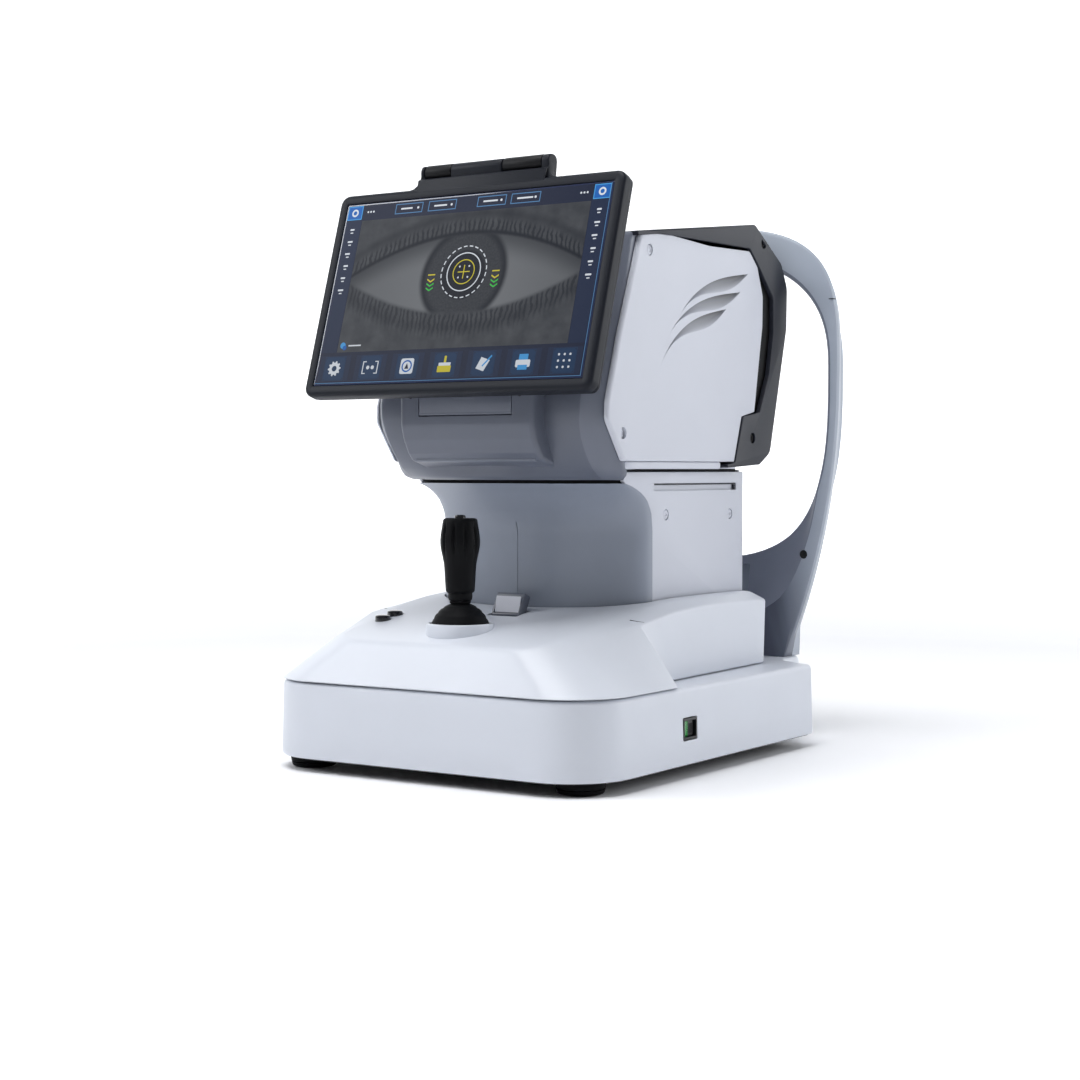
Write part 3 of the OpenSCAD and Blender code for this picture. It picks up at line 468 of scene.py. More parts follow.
inlet = Solid(brick((-13.6, 173, 21.4), (13.6, 195.4, 42.6), 2.4, 0.5, "y"))
cavity = prism(rounded([(-11, 24, 1.5), (11, 24, 1.5), (11, 36.5, 1.5), (7.5, 40, 1.5), (-7.5, 40, 1.5),
                        (-11, 36.5, 1.5)], 4), "y", 181, 200)
make("inlet_body", inlet, "base", BLACK, "mains_inlet", Solid(cavity))
pins = Solid(brick((-18, 190.3, 18), (-13.8, 192.8, 46), 1, 0.3, "y"),
             brick((13.8, 190.3, 18), (18, 192.8, 46), 1, 0.3, "y"))
for px, pz in ((-6, 29), (0, 31), (6, 29)):
    pins.add(brick((px - 1, 180.5, pz), (px + 1, 192, pz + 4), 0.4, 0.3, "y"))
make("inlet_pins", pins, "base", ALU)

# ------------------------------------------------------------------ headrest arch
MID = 286.0            # height of the arch's middle
FOOT_Z = 61.75         # where the arch meets the tub
FACE_Y = 159.0         # front of the arch
HALF_WIDTH = 139.5
CREASE_END = (124, 201)
PLUG_AT = (111, 0, 143)
# room for the chin rest's drive and post, in the front shell, the rear shell and the seam
GUIDE_ROOM = (brick((-60, 162, 60), (60, 190, 134), 2, 0), brick((-12, 167, 130), (12, 181, 150), 1, 0))
LINER_ROOM = (brick((-60, 150, 60), (60, 184, 134), 2, 0), brick((-12, 167, 130), (12, 181, 150), 1, 0))
SEAM_ROOM = (brick((-60, 150, 60), (60, 190, 134), 2, 0), brick((-12, 150, 130), (12, 190, 150), 1, 0))


def crown(a, power, rx, ry):
    """A point of a superellipse about the arch's middle."""
    c, s = math.cos(a), math.sin(a)
    return (rx * abs(c) ** (2 / power) * (1 if c >= 0 else -1),
            MID + ry * abs(s) ** (2 / power) * (1 if s >= 0 else -1))


outside = [(94.5 * i / 12, 61.7) for i in range(12)]
outside += [(HALF_WIDTH - 45 * (1 - i / 30) ** 2.1, 61.7 + 224.3 * i / 30) for i in range(30)]
outside += [crown(math.pi / 2 * i / 60, 3.4, HALF_WIDTH, 115) for i in range(61)]
opening = [crown(math.pi / 2 * i / 60 - math.pi / 2, 3.2, 129, 148) for i in range(60)]
opening += [crown(math.pi / 2 * i / 60, 2.6, 129, 92) for i in range(61)]
crease = [(0, 84), (30, 86), (60, 92.5), (81, 101), (94, 111), (104, 127), (113, 149), (120, 175), CREASE_END]


def reach(line, angle):
    """Distance from the middle of the arch to a line of points, in a direction."""
    best = None
    for a, b in zip(line, line[1:]):
        t0, t1 = (math.atan2(p[1] - MID, max(p[0], 1e-9)) for p in (a, b))
        if min(t0, t1) - 1e-9 <= angle <= max(t0, t1) + 1e-9:
            w = 0 if abs(t1 - t0) < 1e-12 else (angle - t0) / (t1 - t0)
            r0, r1 = (math.hypot(p[0], p[1] - MID) for p in (a, b))
            r = r0 + (r1 - r0) * w
            best = r if best is None else max(best, r)
    return best


marks = sorted({round(math.atan2(p[1] - MID, max(p[0], 1e-9)), 4) for p in opening[::2] + outside[::3]})
angles = [marks[0]]
for t in marks:
    if t - angles[-1] > 0.012:
        angles.append(t)
angles[0], angles[-1] = -math.pi / 2, math.pi / 2
crease_top = math.atan2(CREASE_END[1] - MID, CREASE_END[0])


def arch_ring(kind, depth, inset=0.0):
    """One closed loop of the arch's section, all the way round.

    kind is where the loop lies across the band: on its outline "o", on the crease "c" or just inside it "c2",
    on the hollow inside the crease "p1" or "p2", by the opening "i1", or on the opening "i".
    depth is how far back it lies, or None for the hollow's own depth.
    """
    right = []
    for t in angles:
        ro, ri = reach(outside, t), reach(opening, t)
        rc = max(ri + 4.5, reach(crease, t) or ri + 40) if t < crease_top else ri + 4.5
        fade = min(1.0, max(0.0, (crease_top - t) / 0.35))
        deep = 4.5 + 5.5 * fade
        far = {"o": ro, "c": rc, "c2": rc - 1.2, "p1": rc - (rc - ri) * 0.35, "p2": rc - (rc - ri) * 0.7,
               "i1": ri + 0.5, "i": ri}[kind]
        hollow = {"c2": 0.25 + 0.5 * fade, "p1": deep * 0.5, "p2": deep * 0.8, "i1": deep}
        y = FACE_Y + hollow[kind] if depth is None else depth
        lift = min(1.0, max(0.0, (MID + ro * math.sin(t) - 61.7) / 12))
        far -= min(inset, 0.78 * (ro - ri)) * lift
        right.append((far * math.cos(t), y, max(FOOT_Z, MID + far * math.sin(t))))
    return right + [(-p[0], p[1], p[2]) for p in reversed(right[1:-1])]


def arch_band(*kinds):
    """The loops of the arch that the kinds give, joined into one closed section."""
    return hoop([arch_ring(*kind) for kind in kinds])


points, faces = arch_band(("o", 172.75, 4.0), ("o", 163.0), ("o", 160.2, 1.0), ("o", FACE_Y, 3.8),
                          ("c", FACE_Y), ("c2", None), ("p1", None), ("p2", None), ("i1", None), ("i", 170.5),
                          ("i", 172.75))
around = 2 * len(angles) - 2
# the ring and the opening's inner wall take the face finish, the hollow the darker copy that stands for its
# shade
front = Solid()
for first, last, material in ((0, 4, 0), (4, 9, 1), (9, 11, 0)):
    front.add((points, faces[first * around:last * around]), material)
arch = make("arch_front", front, "base", [ARCH_FACE_PAINTED_SHADE, ARCH_HOLLOW_PAINTED_SHADE], "arch_front_shell",
            [Solid(room) for room in GUIDE_ROOM] + [Solid().pair(rod("y", 150, 165, PLUG_AT, 3.6, 0))],
            sharp=30)
# painted shading, strongest low down and towards the middle
set_painted_shade(arch, lambda x, y, z: min(1.0, max(0.0, (124 - abs(x)) / 34)) * min(1.0, max(0.0, (176 - z) / 70)))
make("arch_rear", Solid(arch_band(("o", 173.25, 4.2), ("o", 178.0, 6.0), ("o", 183.0, 8.6),
                                  ("o", 186.0, 10.6), ("o", 187.0, 12.0), ("i1", 186.6), ("i", 185.4),
                                  ("i", 173.25))),
     "base", ARCH, "arch_rear_shell", [Solid(room) for room in LINER_ROOM], sharp=24)
make("arch_seam", Solid(arch_band(("o", 172.7, 4.7), ("i1", 172.7), ("i1", 173.3), ("o", 173.3, 4.7))),
     "base", BLACK_FOR_GAPS_AND_SHADE, (), [Solid(room) for room in SEAM_ROOM])
make("plugs", Solid().pair(lathe([(3.45, 168), (3.45, 160.2), (3.1, 159.8), (1.8, 160.4), (0.2, 161.2)], 32,
                                 PLUG_AT, "y")), "base", BLACK_FOR_GAPS_AND_SHADE, "arch_plugs")
ticks = Solid()
ticks.pair(prism([(131.9, 158.9), (133.9, 159.1), (135.3, 160.2), (136.15, 162.8), (135.6, 163),
                  (131.9, 161)],
                 "z", 340.6, 341.3))
make("eye_height_ticks", ticks, "base", BLACK)

# forehead pad: crowned, with a piped seam round its edge
pad_line = tidy(rounded([(-52, 372, 7), (-30, 383, 30), (30, 383, 30), (52, 372, 7), (56, 392, 7.5),
                         (30, 399, 30), (-30, 399, 30), (-56, 392, 7.5)], 8))
pad_rings = [(187.0, 1.0), (188.0, 0.2), (189.3, 0.0), (189.9, 0.9), (190.5, 0.1), (191.8, 0.0), (193.2, 0.6),
             (194.4, 1.7), (195.2, 3.2), (195.7, 4.9)]
rings = [[(p[0], y + (0.25 * math.sin(p[0] * 0.42) if y >= 191 and d < 3 else 0), p[1])
          for p in shrink(pad_line, d)] for y, d in pad_rings]
make("forehead_cushion", Solid(loft(rings)), "base", PAD, "forehead_pad", sharp=60)
loops = []
for j in range(8):
    a = 2 * math.pi * j / 8
    seam = shrink(pad_line, 0.35 - 0.55 * math.cos(a))
    loops.append([(p[0], 189.9 + 0.55 * math.sin(a), p[1]) for p in seam])
make("forehead_piping", Solid(hoop(loops)), "base", RUBBER, sharp=80)

# chin cup: a dished rest with a raised lip, and two pins for tissues
cup_line = tidy(rounded([(-38, 159.2, 10), (38, 159.2, 10), (38, 195.8, 16), (-38, 195.8, 16)], 10))
cup_line = spaced(cup_line, 4)
CUP_FOOT, CUP_LIP = 209.0, 222.0


def dish(x, y):
    """Height of the cup's upper face: hollow for the chin, and lower between the two raised ends."""
    d = math.hypot(x, (y - 203) * 0.9)
    hollow = CUP_LIP - max(0.0, 15.5 * (1 - (d / 34) ** 2))
    return min(CUP_LIP, max(207.5, hollow - (1.5 if abs(x) < 29 and y > 165 else 0)))


rings = [[(p[0], p[1], z) for p in shrink(cup_line, d)] for z, d in
         ((205.0, 2.2), (205.6, 1.0), (207.0, 0.2), (CUP_FOOT, 0.0))]
for d, f in ((0.0, 0.9), (0.4, 0.97), (1.2, 1.0), (2.6, 1.0), (4.5, 1.0), (7, 1.0), (10, 1.0), (13, 1.0),
             (15.5, 1.0)):
    near = min(1.0, 1 - (d - 7) / 14)
    ring = [(p[0] * near, 177.5 + (p[1] - 177.5) * near) for p in shrink(cup_line, min(d, 7))]
    rings.append([(p[0], p[1], CUP_FOOT + (dish(p[0], p[1]) - CUP_FOOT) * f) for p in ring])
make("chin_rest_cup", Solid(loft(rings)), "chin_rest", SIDE, "chin_cup", sharp=50)
peg = [(2.4, 219), (2.4, 220.6), (1.9, 221), (1.9, 226.6), (1.5, 227.6), (0.6, 228)]
make("tissue_pins", Solid().pair(lathe(peg, 24, (26, 168, 0))), "chin_rest", STEEL)

# ------------------------------------------------------------------ stage
COVER_FOOT = 62.5
FRONT_Y = -195.6       # front of the cover's foot
STICK_AT = (0, -144, 0)
KEY_X = -79
KEYS = (("chin_up", -129, 104.0), ("chin_down", -115, 106.5))
LEVER_X = (-5.5, 18.5)

# Stations round the right side of the cover, from the rear middle to the front middle:
# foot, lower crease, upper crease, start of the top face, and how far each crease is rounded
STATIONS = [
    ((0, 108, 62.5), (0, 108, 112), (0, 104, 117), (0, 92, 117.4), 2, 3),
    ((70, 108, 62.5), (70, 108, 111.5), (66, 104, 117), (62, 92, 117.4), 2, 3),
    ((99, 108, 62.5), (99.5, 108, 110.5), (90, 104, 116.8), (82, 92, 117.4), 2, 3),
    ((102, 107.4, 62.5), (103, 107.4, 110.5), (92.8, 102.8, 116.7), (84.5, 91.6, 117.4), 2, 3),
    ((104, 106, 62.5), (105.5, 105.8, 110.5), (94.8, 100.8, 116.7), (86, 90.8, 117.4), 2, 3),
    ((105, 102, 62.5), (106.8, 102, 110.5), (96.4, 97.5, 116.9), (87.3, 88.5, 117.4), 2, 3),
    ((105.3, 90, 62.5), (107, 90, 111.2), (97, 88, 117.3), (88, 84, 117.4), 2, 3),
    ((108.5, 40, 62.5), (109.6, 40, 112.2), (97.2, 40, 117.4), (88, 40, 117.5), 2, 3),
    ((110.7, -7, 62.5), (111.6, -7, 111.6), (97.5, -7, 117.2), (88, -7, 117.3), 2, 3),
    ((112.2, -30, 62.5), (112.8, -30, 110.9), (97.5, -32, 116.3), (88, -32, 116.5), 2, 3),
    ((113, -46.8, 62.5), (113.2, -47, 110), (97.5, -50, 114.8), (88, -50, 115), 2, 3),
    ((113.4, -48, 62.5), (114.2, -72, 107.2), (96.5, -74, 111.5), (88, -74, 111.7), 2, 3),
    ((113.9, -48.6, 62.5), (115.1, -95, 104.6), (95.5, -97, 107.9), (87, -97, 108.1), 2, 3),
    ((139.3, -87, 62.5), (115.2, -97.5, 104.3), (95.2, -99, 107.5), (86.5, -99, 107.7), 3, 4),
    ((139.5, -98, 62.5), (112.2, -108, 102.6), (92.8, -109, 105.8), (84, -109, 106), 5, 5),
    ((139.5, -110, 62.5), (109, -120, 100.5), (90, -120, 103.6), (82, -120, 103.8), 7, 5),
    ((139.5, -130, 62.5), (103.5, -138, 96.5), (88.6, -138, 100.2), (80, -138, 100.3), 9, 5),
]
for i in range(15):
    u = i / 14
    a = math.pi / 2 * u
    foot = Vector((94.5 + 45 * math.cos(a), -151 - 44.6 * math.sin(a), COVER_FOOT))
    top = Vector((62 + 26 * math.cos(a), -155 - 25 * math.sin(a), 96.9 - 4.7 * math.sin(a)))
    face = Vector((60 + 19 * math.cos(a), -152.5 - 18.5 * math.sin(a), 0))
    face.z = 92.5 + 0.19 * (face.y + 179)
    mid = Vector((98, -158, 92)).lerp(foot.lerp(top, 0.78), min(1, u * 1.25))
    STATIONS.append((foot, mid, top, face, 9 + 3 * u, 5))
for x in (30, 0):
    foot, top = Vector((x, FRONT_Y, COVER_FOOT)), Vector((x, -180, 92.2))
    STATIONS.append((foot, foot.lerp(top, 0.78), top, (x, -171, 94), 12, 5))


def cover_profile(foot, mid, top, face, mid_round, top_round):
    """The cover's section at a station: up its outer face, then back down inside it."""
    foot, mid, top, face = Vector(foot), Vector(mid), Vector(top), Vector(face)
    lip = foot + (mid - foot).normalized() * 1.0
    inward = Vector((face.x - foot.x, face.y - foot.y, 0)).normalized()
    line = [foot + inward * 0.8, lip] + bend(lip, mid, top, mid_round, 5) + bend(mid, top, face, top_round, 5)
    line += [face, face - Vector((0, 0, 3)), top + inward * 2.5 - Vector((0, 0, 3)),
             mid + inward * 3 - Vector((0, 0, 1)), foot + inward * 3]
    return [tuple(p) for p in line]


def stage_cover():
    """The cover's skin, with its two halves joined across the flat middle of the top."""
    profiles = [cover_profile(*station) for station in STATIONS]
    n = len(profiles[0])
    flat_side = n - 5
    sides = range(len(profiles) - 1)
    faces = [(s * n + i, s * n + (i + 1) % n, (s + 1) * n + (i + 1) % n, (s + 1) * n + i)
             for s in sides for i in range(n) if i != flat_side]
    cover = Solid().pair(([p for r in profiles for p in r], faces))
    half = n * len(profiles)
    for s in sides:
        for i in (flat_side, flat_side + 1):
            a, b = s * n + i, (s + 1) * n + i
            cover.f.append((a, b, b + half, a + half))
            cover.m.append(0)
    return cover


# The neck's front: height, how far forward its sides reach, and how far its middle does
NECK_ROWS = [(96, -34, -74), (162, -34, -74), (165, -34, -74.3), (168, -34.2, -74.8), (172, -34.7, -76),
             (178, -35.5, -79), (182, -37.5, -81.4), (187, -41, -85.6), (190, -44.8, -88.4),
             (193, -50, -91.6), (195.5, -56, -94.8), (197.5, -62, -98), (199.6, -71, -102)]


def neck_plan(side_y, middle_y, half_width=87.9, rear=None):
    """The neck from above: a bowed front, closed by a straight back at y = rear if there is one."""
    turn = [math.pi / 2 * i / 18 for i in range(19)]
    right = [(half_width * math.sin(t), side_y + (middle_y - side_y) * math.cos(t)) for t in turn]
    back = [] if rear is None else [(half_width, rear), (-half_width, rear)]
    return [(-p[0], p[1]) for p in reversed(right[1:])] + right + back


well = shrink(tidy(neck_plan(-34, -74, 88, 102)), -1.5)
openings = Solid(rod("z", 80, 120, STICK_AT, 23.3, 0, 64))
for _, key_y, _ in KEYS:
    openings.add(rod("z", 80, 120, (KEY_X, key_y, 0), 6.1, 0, 40))
openings.add(brick((-6.6, -104.5, 90), (19.6, -86.5, 130), 1.5, 0))
make("stage_cover_shell", stage_cover(), "stage", LIGHT, "stage_cover",
     [Solid(prism(well, "z", 98, 130)), openings], sharp=26)


def well_top(y):
    """Height of the black ring round the neck's foot, just under the cover: painted shadow in the gap."""
    return 116.3 if y > -32 else max(110.9, 116.3 - (-32 - y) * 0.13)


well_out = shrink(well, -0.1)
well_in = shrink(well, 1.0)
loops = [[(p[0], p[1], 100) for p in well_out], [(p[0], p[1], well_top(p[1])) for p in well_out],
         [(p[0], p[1], well_top(p[1])) for p in well_in], [(p[0], p[1], 100) for p in well_in]]
# a near-black ring in the gap round the neck's foot, painted shadow
make("neck_gap_painted_shadow", Solid(hoop(loops)), "stage", BLACK_FOR_GAPS_AND_SHADE)
lip = [(23.15, 94), (23.15, 102.8), (22.8, 103.8), (21.9, 104.2), (21.35, 103.8), (21.15, 102.6), (21.15, 94)]
make("joystick_well", Solid(lathe(lip + [lip[0]], 72, STICK_AT)), "stage", LIGHT,
     "joystick_boss", sharp=40)
# the small dark mark where the two halves of the shoulder meet
mark = [(104.5, -92.3), (113.4, -88.5), (113.4, -87.9), (104.5, -91.7)]
mark_rows = [[(p[0], p[1], h) for p, h in zip(mark, heights)]
             for heights in ((105.8, 104.4, 104.4, 105.8), (107.3, 105.7, 105.7, 107.3))]
make("shoulder_mark", Solid().pair(loft(mark_rows)), "stage", CHARCOAL)

# lock lever: a tilted paddle with a recessed face
paddle = rounded([(-98.5, 97, 0.6), (-91.5, 97, 0.6), (-91, 107, 1), (-84.5, 119.6, 1.2), (-91.6, 122.6, 1.4),
                  (-99.4, 107.5, 1.5)], 4)
recess = [(-102, 108.8), (-95.6, 121.4), (-93.9, 120.6), (-97.2, 108.2)]
make("lever_paddle", Solid(prism(paddle, "x", LEVER_X[0], LEVER_X[1], 0.8, 3)), "lever",
     HEAD_GREY_WITH_SHADE, "lock_lever", Solid(prism(recess, "x", LEVER_X[0] + 1.5, LEVER_X[1] - 1.5)), sharp=34)
make("lever_pin", Solid(rod("x", LEVER_X[0] - 4, LEVER_X[1] + 4, (0, -95, 100), 1.95, 0.3)), "lever",
     STEEL)
face = [(-96.9, 109.0), (-94.3, 120.0), (-94.75, 120.2), (-97.4, 109.0)]
make("lever_face", Solid(prism(face, "x", LEVER_X[0] + 1.7, LEVER_X[1] - 1.7)), "lever",
     LEVERFACE)

for way, key_y, top_z in KEYS:
    line = [(r, top_z + h) for r, h in ((3.0, -9.8), (5.55, -9.6), (5.6, -0.4), (5.5, 0.7), (5.0, 1.15),
                                        (3.9, 1.5), (2.1, 1.75), (0.5, 1.8))]
    make(way + "_key", Solid(lathe(line, 40, (KEY_X, key_y, 0))), way[5:] + "_button", GLOSS,
         way + "_button", sharp=28)

# ------------------------------------------------------------------ joystick
def flutes(h, a):
    """Ten grooves round the head of the grip, fading out below and above."""
    t = min(1.0, max(0.0, (h - 150) / 6)) * min(1.0, max(0.0, (173.5 - h) / 3))
    groove = max(0.0, math.cos(a * 10 + 0.3)) ** 3
    return 1 - 0.115 * t * groove


grip = [(4.1, 119.5), (7.4, 119.5), (7.9, 120), (8.4, 121.6), (8.4, 124.8), (9.3, 125.3), (9.9, 126.2),
        (10.1, 128.5), (10.4, 133), (10.7, 139), (11.2, 145), (12.2, 150), (13.0, 153.2), (13.5, 156),
        (13.75, 158.6), (13.75, 161), (13.5, 164), (13.1, 167), (12.6, 170), (12.2, 172.6), (11.9, 174.3),
        (11.3, 175.5), (10.3, 176.0), (5.0, 176.0), (4.4, 175.6), (4.3, 169.5), (4.1, 169), (4.1, 119.5)]
make("grip", Solid(lathe(grip, 120, STICK_AT, lobes=flutes)), "grip", GRIP, "joystick_grip",
     sharp=34)
make("trigger_cap", Solid(lathe([(3.2, 172.2), (3.85, 172.6), (3.85, 177.2), (3.5, 178.0), (2.4, 178.4),
                                 (0.4, 178.5)],
                                40, STICK_AT)), "trigger", GLOSS, "joystick_trigger")
# boot: part of a ball about the pivot, with three fine grooves, and a collar round the stick
PIVOT_Z = 97.8
turn = [math.radians(80 - 62 * i / 14) for i in range(15)]
boot = []
for i, t in enumerate(turn):
    ball = 20.3 if i in (4, 7, 10) else 20.65
    boot.append((ball * math.sin(t), PIVOT_Z + ball * math.cos(t)))
boot += [(6.9, 117.6), (7.3, 118.0), (7.35, 119.1), (4.05, 119.2), (4.05, 115.6)]
boot += [(18.8 * math.sin(t), PIVOT_Z + 18.8 * math.cos(t)) for t in reversed(turn)]
boot.append(boot[0])
make("boot", Solid(lathe(boot, 96, STICK_AT)), "stick", RUBBER, "joystick_boot", sharp=50)

# ------------------------------------------------------------------ neck
SIDES = ((1, "right"), (-1, "left"))
NECK_SIDE = 88.0       # outer face of the neck's side panels
NECK_SCREWS = ((-15, 177), (81, 176))
rows = [[(p[0], p[1], z) for p in neck_plan(side_y, middle_y)] for z, side_y, middle_y in NECK_ROWS]
inner_rows = [[(x * 0.972, y + 3.0 * (1 - (x / 90) ** 4) + 0.2, z) for x, y, z in r] for r in rows]
groove = Solid(brick((-0.22, -120, 118), (0.22, -50, 172), 0.05, 0))
make("neck_front", Solid(skin(rows, inner_rows)), "head", NECK, "neck_front_shell", groove,
     sharp=40)

panel_line = tidy([(101.2, 96), (101.9, 97), (101.9, 206.6), (101.2, 207.6), (-74, 207.6), (-73, 201)]
                  + [(r[1], r[0]) for r in reversed(NECK_ROWS)])
pits = Solid(brick((85.6, -32, 194), (90, 91, 199.5), 0.8, 0.0, "x"))
heads = Solid()
for y, z in NECK_SCREWS:
    pits.add(rod("x", 86.6, 90, (0, y, z), 4.0, 0))
    heads.add(lathe([(3.5, 86.6), (3.5, 87.3), (3.1, 87.7), (1.2, 87.9), (1.1, 87.3), (0.2, 87.2)], 28,
                    (0, y, z), "x"))
# charcoal strips in the slot: painted shadow under its upper edge and at its rear end
shadow = Solid(brick((85.9, -31.6, 198.2), (87.4, 90.6, 199.2), 0.2, 0, "x"),
               brick((85.9, 88.4, 194.3), (87.4, 90.6, 197.9), 0.2, 0, "x"))
for side, word in SIDES:
    name = "neck_side_" + word
    make(name, Solid(prism(panel_line, "x", NECK_SIDE - 3, NECK_SIDE, 0.5, 2, 0)).on(side), "head",
         SIDE, "neck_%s_panel" % word, pits.on(side), sharp=30)
    make(name + "_screws", heads.on(side), "head", SIDE)
    make(name + "_slot_painted_shadow", shadow.on(side), "head", CHARCOAL)
make("neck_rear", Solid(prism([(-85, 99), (85, 99), (85, 101.9), (-85, 101.9)], "z", 96, 209, 0.5, 2)),
     "head", SIDE, "neck_rear_panel", bevel=0.3)

# ------------------------------------------------------------------ head
# The head's front shell from the chin up: height, the middle's y, and its side strip's inner and outer edge
HEAD_ROWS = [
    (202.0, -106.4, (79.0, -86.4), (88.5, -79.5)), (202.6, -108.2, (79.6, -88.4), (90, -81)),
    (203.6, -109.8, (80.2, -91), (92, -82.6)), (205, -111, (80.6, -95), (94, -84)),
    (207.4, -112, (80.8, -98.6), (95.2, -85)), (209, -112.6, (81, -101.5), (95.5, -86)),
    (210.6, -113.4, (81.1, -103.6), (95.6, -87)), (215, -115.4, (81.2, -108), (95.6, -89.4)),
    (224, -119.3, (81.6, -115), (95.6, -97)), (231, -121.8, (82.0, -119.2), (95.6, -103)),
    (238, -123.7, (82.6, -122), (95.6, -108)), (243, -124.6, (83.3, -123.2), (95.6, -109.8)),
    (248, -125, (84, -123.6), (95.6, -110.6)), (256, -124.8, (84.3, -123.4), (95.6, -110.6)),
    (263, -123.4, (84.4, -121.8), (95.6, -109.4)), (270, -121.5, (84.5, -120), (95.6, -107.5)),
    (300, -112, (85, -110.4), (95.6, -97)), (340, -98, (86, -96.4), (95.6, -82.5)),
    (366, -88.6, (86, -87.2), (95.6, -76.8)), (369.4, -86.9, (86, -85.8), (95.5, -76)),
    (371.4, -85, (85.9, -83.9), (95.2, -74.8)), (372.2, -82, (85.6, -81), (94.6, -73)),
]
STRIP_STARTS = 8.5     # edges from the middle of a row to its side strip


def head_row(z, middle_y, inner_edge, outer_edge):
    """One row of the head's front, from the left side round to the right."""
    (xi, yi), (xo, yo) = inner_edge, outer_edge
    line = [Vector((xi * t, middle_y + (yi - middle_y) * t ** 3, z))
            for t in (0, 0.2, 0.4, 0.6, 0.72, 0.82, 0.9)]
    line += bend((xi * 0.9, middle_y + (yi - middle_y) * 0.73, z), (xi, yi, z), (xo, yo, z), 1.6, 4)
    line += bend((xi, yi, z), (xo, yo, z), (xo, -60, z), 2.2, 4)
    back_y = -44 if z > 209 else yo + 4
    line += [Vector((xo, (yo + back_y) / 2, z)), Vector((xo, back_y, z))]
    return [(-p[0], p[1], p[2]) for p in reversed(line[1:])] + [tuple(p) for p in line]


outer = [head_row(*row) for row in HEAD_ROWS]
inner = [[(x * (1 - 3 / 96), y + 3 * (1 - abs(x) / 110) + 1.2, min(max(z, 204.6), 369.2)) for x, y, z in r]
         for r in outer]
shell = Solid(skin(outer, inner))
cols = len(outer[0]) - 1
# the side strips in the mid grey, a painted highlight where the front turns to the side
for i in range(len(outer) - 1):
    at = i * (2 * cols + 2)
    for j in range(cols):
        shell.m[at + 2 * j] = 1 if abs(j + 0.5 - cols / 2) > STRIP_STARTS else 0
    shell.m[at + 2 * cols] = shell.m[at + 2 * cols + 1] = 1
under = tidy(neck_plan(-67, -98, 84.5, 96))
loops = [[(p[0], p[1], z) for p in shrink(under, d)] for d, z in ((0, 198), (0, 209.8), (4, 209.8), (4, 198))]
# a near-black ring between the head and the neck's flare, painted shadow in the gap
make("chin_gap_painted_shadow", Solid(hoop(loops)), "head", BLACK_FOR_GAPS_AND_SHADE)
make("head_front", shell, "head", [HEAD_GREY_WITH_SHADE, GREY_LIGHT_AND_SHADE], "head_front_shell", sharp=40)

# printer block: frame round the flap, lip and undercut
DOOR_PIN = (0, -137.4, 248)
WINDOW_Z = 319
bay = tidy(rounded([(-96, 206.5, 4), (-126.2, 215.4, 4), (-131, 220.5, 5), (-136.2, 230, 10),
                    (-139, 239.5, 14), (-139, 264, 4), (-96, 264, 4)], 6))
cut = Solid(brick((-39.6, -142, 246.0), (39.6, -130, 261.0), 1.0, 0, "y"),
            rod("x", -43, 43, DOOR_PIN, 1.2, 0, 24))
hollow = Solid(prism([(-90, 214.5), (-112, 214.5), (-124, 221), (-134, 239), (-134, 260.4), (-90, 260.4)],
                     "x", -51, 51))
make("printer_block", Solid(prism(bay, "x", -56, 56, 3.4, 5)), "head", HEAD_GREY_WITH_SHADE, (),
     [hollow, cut], sharp=34)
# the lip bar in the mid grey, lighter than the block: a painted highlight along its lower edge
lip_bar = tidy(rounded([(-125.6, 214.2, 0.5), (-127.4, 215.0, 0.8), (-127.8, 216.6, 0.8),
                        (-126.4, 217.4, 0.5)], 3))
make("printer_lip", Solid(prism(lip_bar, "x", -51, 51, 0.5, 2)), "head", GREY_LIGHT_AND_SHADE)
dots = Solid().pair(lathe([(1.7, -138.7), (1.7, -139.15), (1.2, -139.3), (0.5, -139.0)], 24, (46, 0, 260.2),
                          "y"))
make("printer_screws", dots, "head", BLACK)
flap = tidy(rounded([(-38.9, 247.4, 0.6), (38.9, 247.4, 0.6), (38.9, 260.3, 0.8), (-38.9, 260.3, 0.8)], 4))
door = Solid(prism(flap, "y", -138.9, -136.0, 0.35, 2), rod("x", -42.3, 42.3, DOOR_PIN, 1.0, 0.1, 20),
             rod("x", -38.8, 38.8, DOOR_PIN, 1.55, 0.2, 24),
             brick((-9, -139.0, 257.6), (9, -138.4, 258.6), 0.4, 0.1, "y"))
make("printer_flap", door, "door", HEAD_GREY_WITH_SHADE, "printer_door", sharp=34)

# tray: the grey strip under the side panels, and the floor that carries the optics
tray_line = tidy(rounded([(-98, -82, 12), (-90, -90, 4), (90, -90, 4), (98, -82, 12), (98, 48, 1),
                          (-98, 48, 1)], 6))
tray = Solid(prism(tray_line, "z", 209.6, 214.8, 1.2, 3), brick((-84, 42, 212), (84, 48.4, 220), 0.5, 0.2),
             brick((-84, 42, 216), (84, 96, 220), 1, 0.3))
arc = [(26.0 * math.cos(math.radians(a)), WINDOW_Z + 26.0 * math.sin(math.radians(a)))
       for a in range(-141, -38, 6)]
arc = [p for p in arc if abs(p[0]) <= 20]
for y0, z0 in ((0, 215), (80, 220)):  # the two cradles under the optics tube
    tray.add(prism([(-20, z0), (-20, arc[0][1])] + arc + [(20, arc[-1][1]), (20, z0)], "y", y0, y0 + 8))
tray_piece = make("head_tray", tray, "head", [GREY_LIGHT_AND_SHADE, SIDE], "head_chassis", sharp=34)
# the tray's sides in the panels' light grey, the rest in the mid grey as painted shade on its underside
for side_face in tray_piece.data.polygons:
    if abs(side_face.center.x) > 0.095:
        side_face.material_index = 1

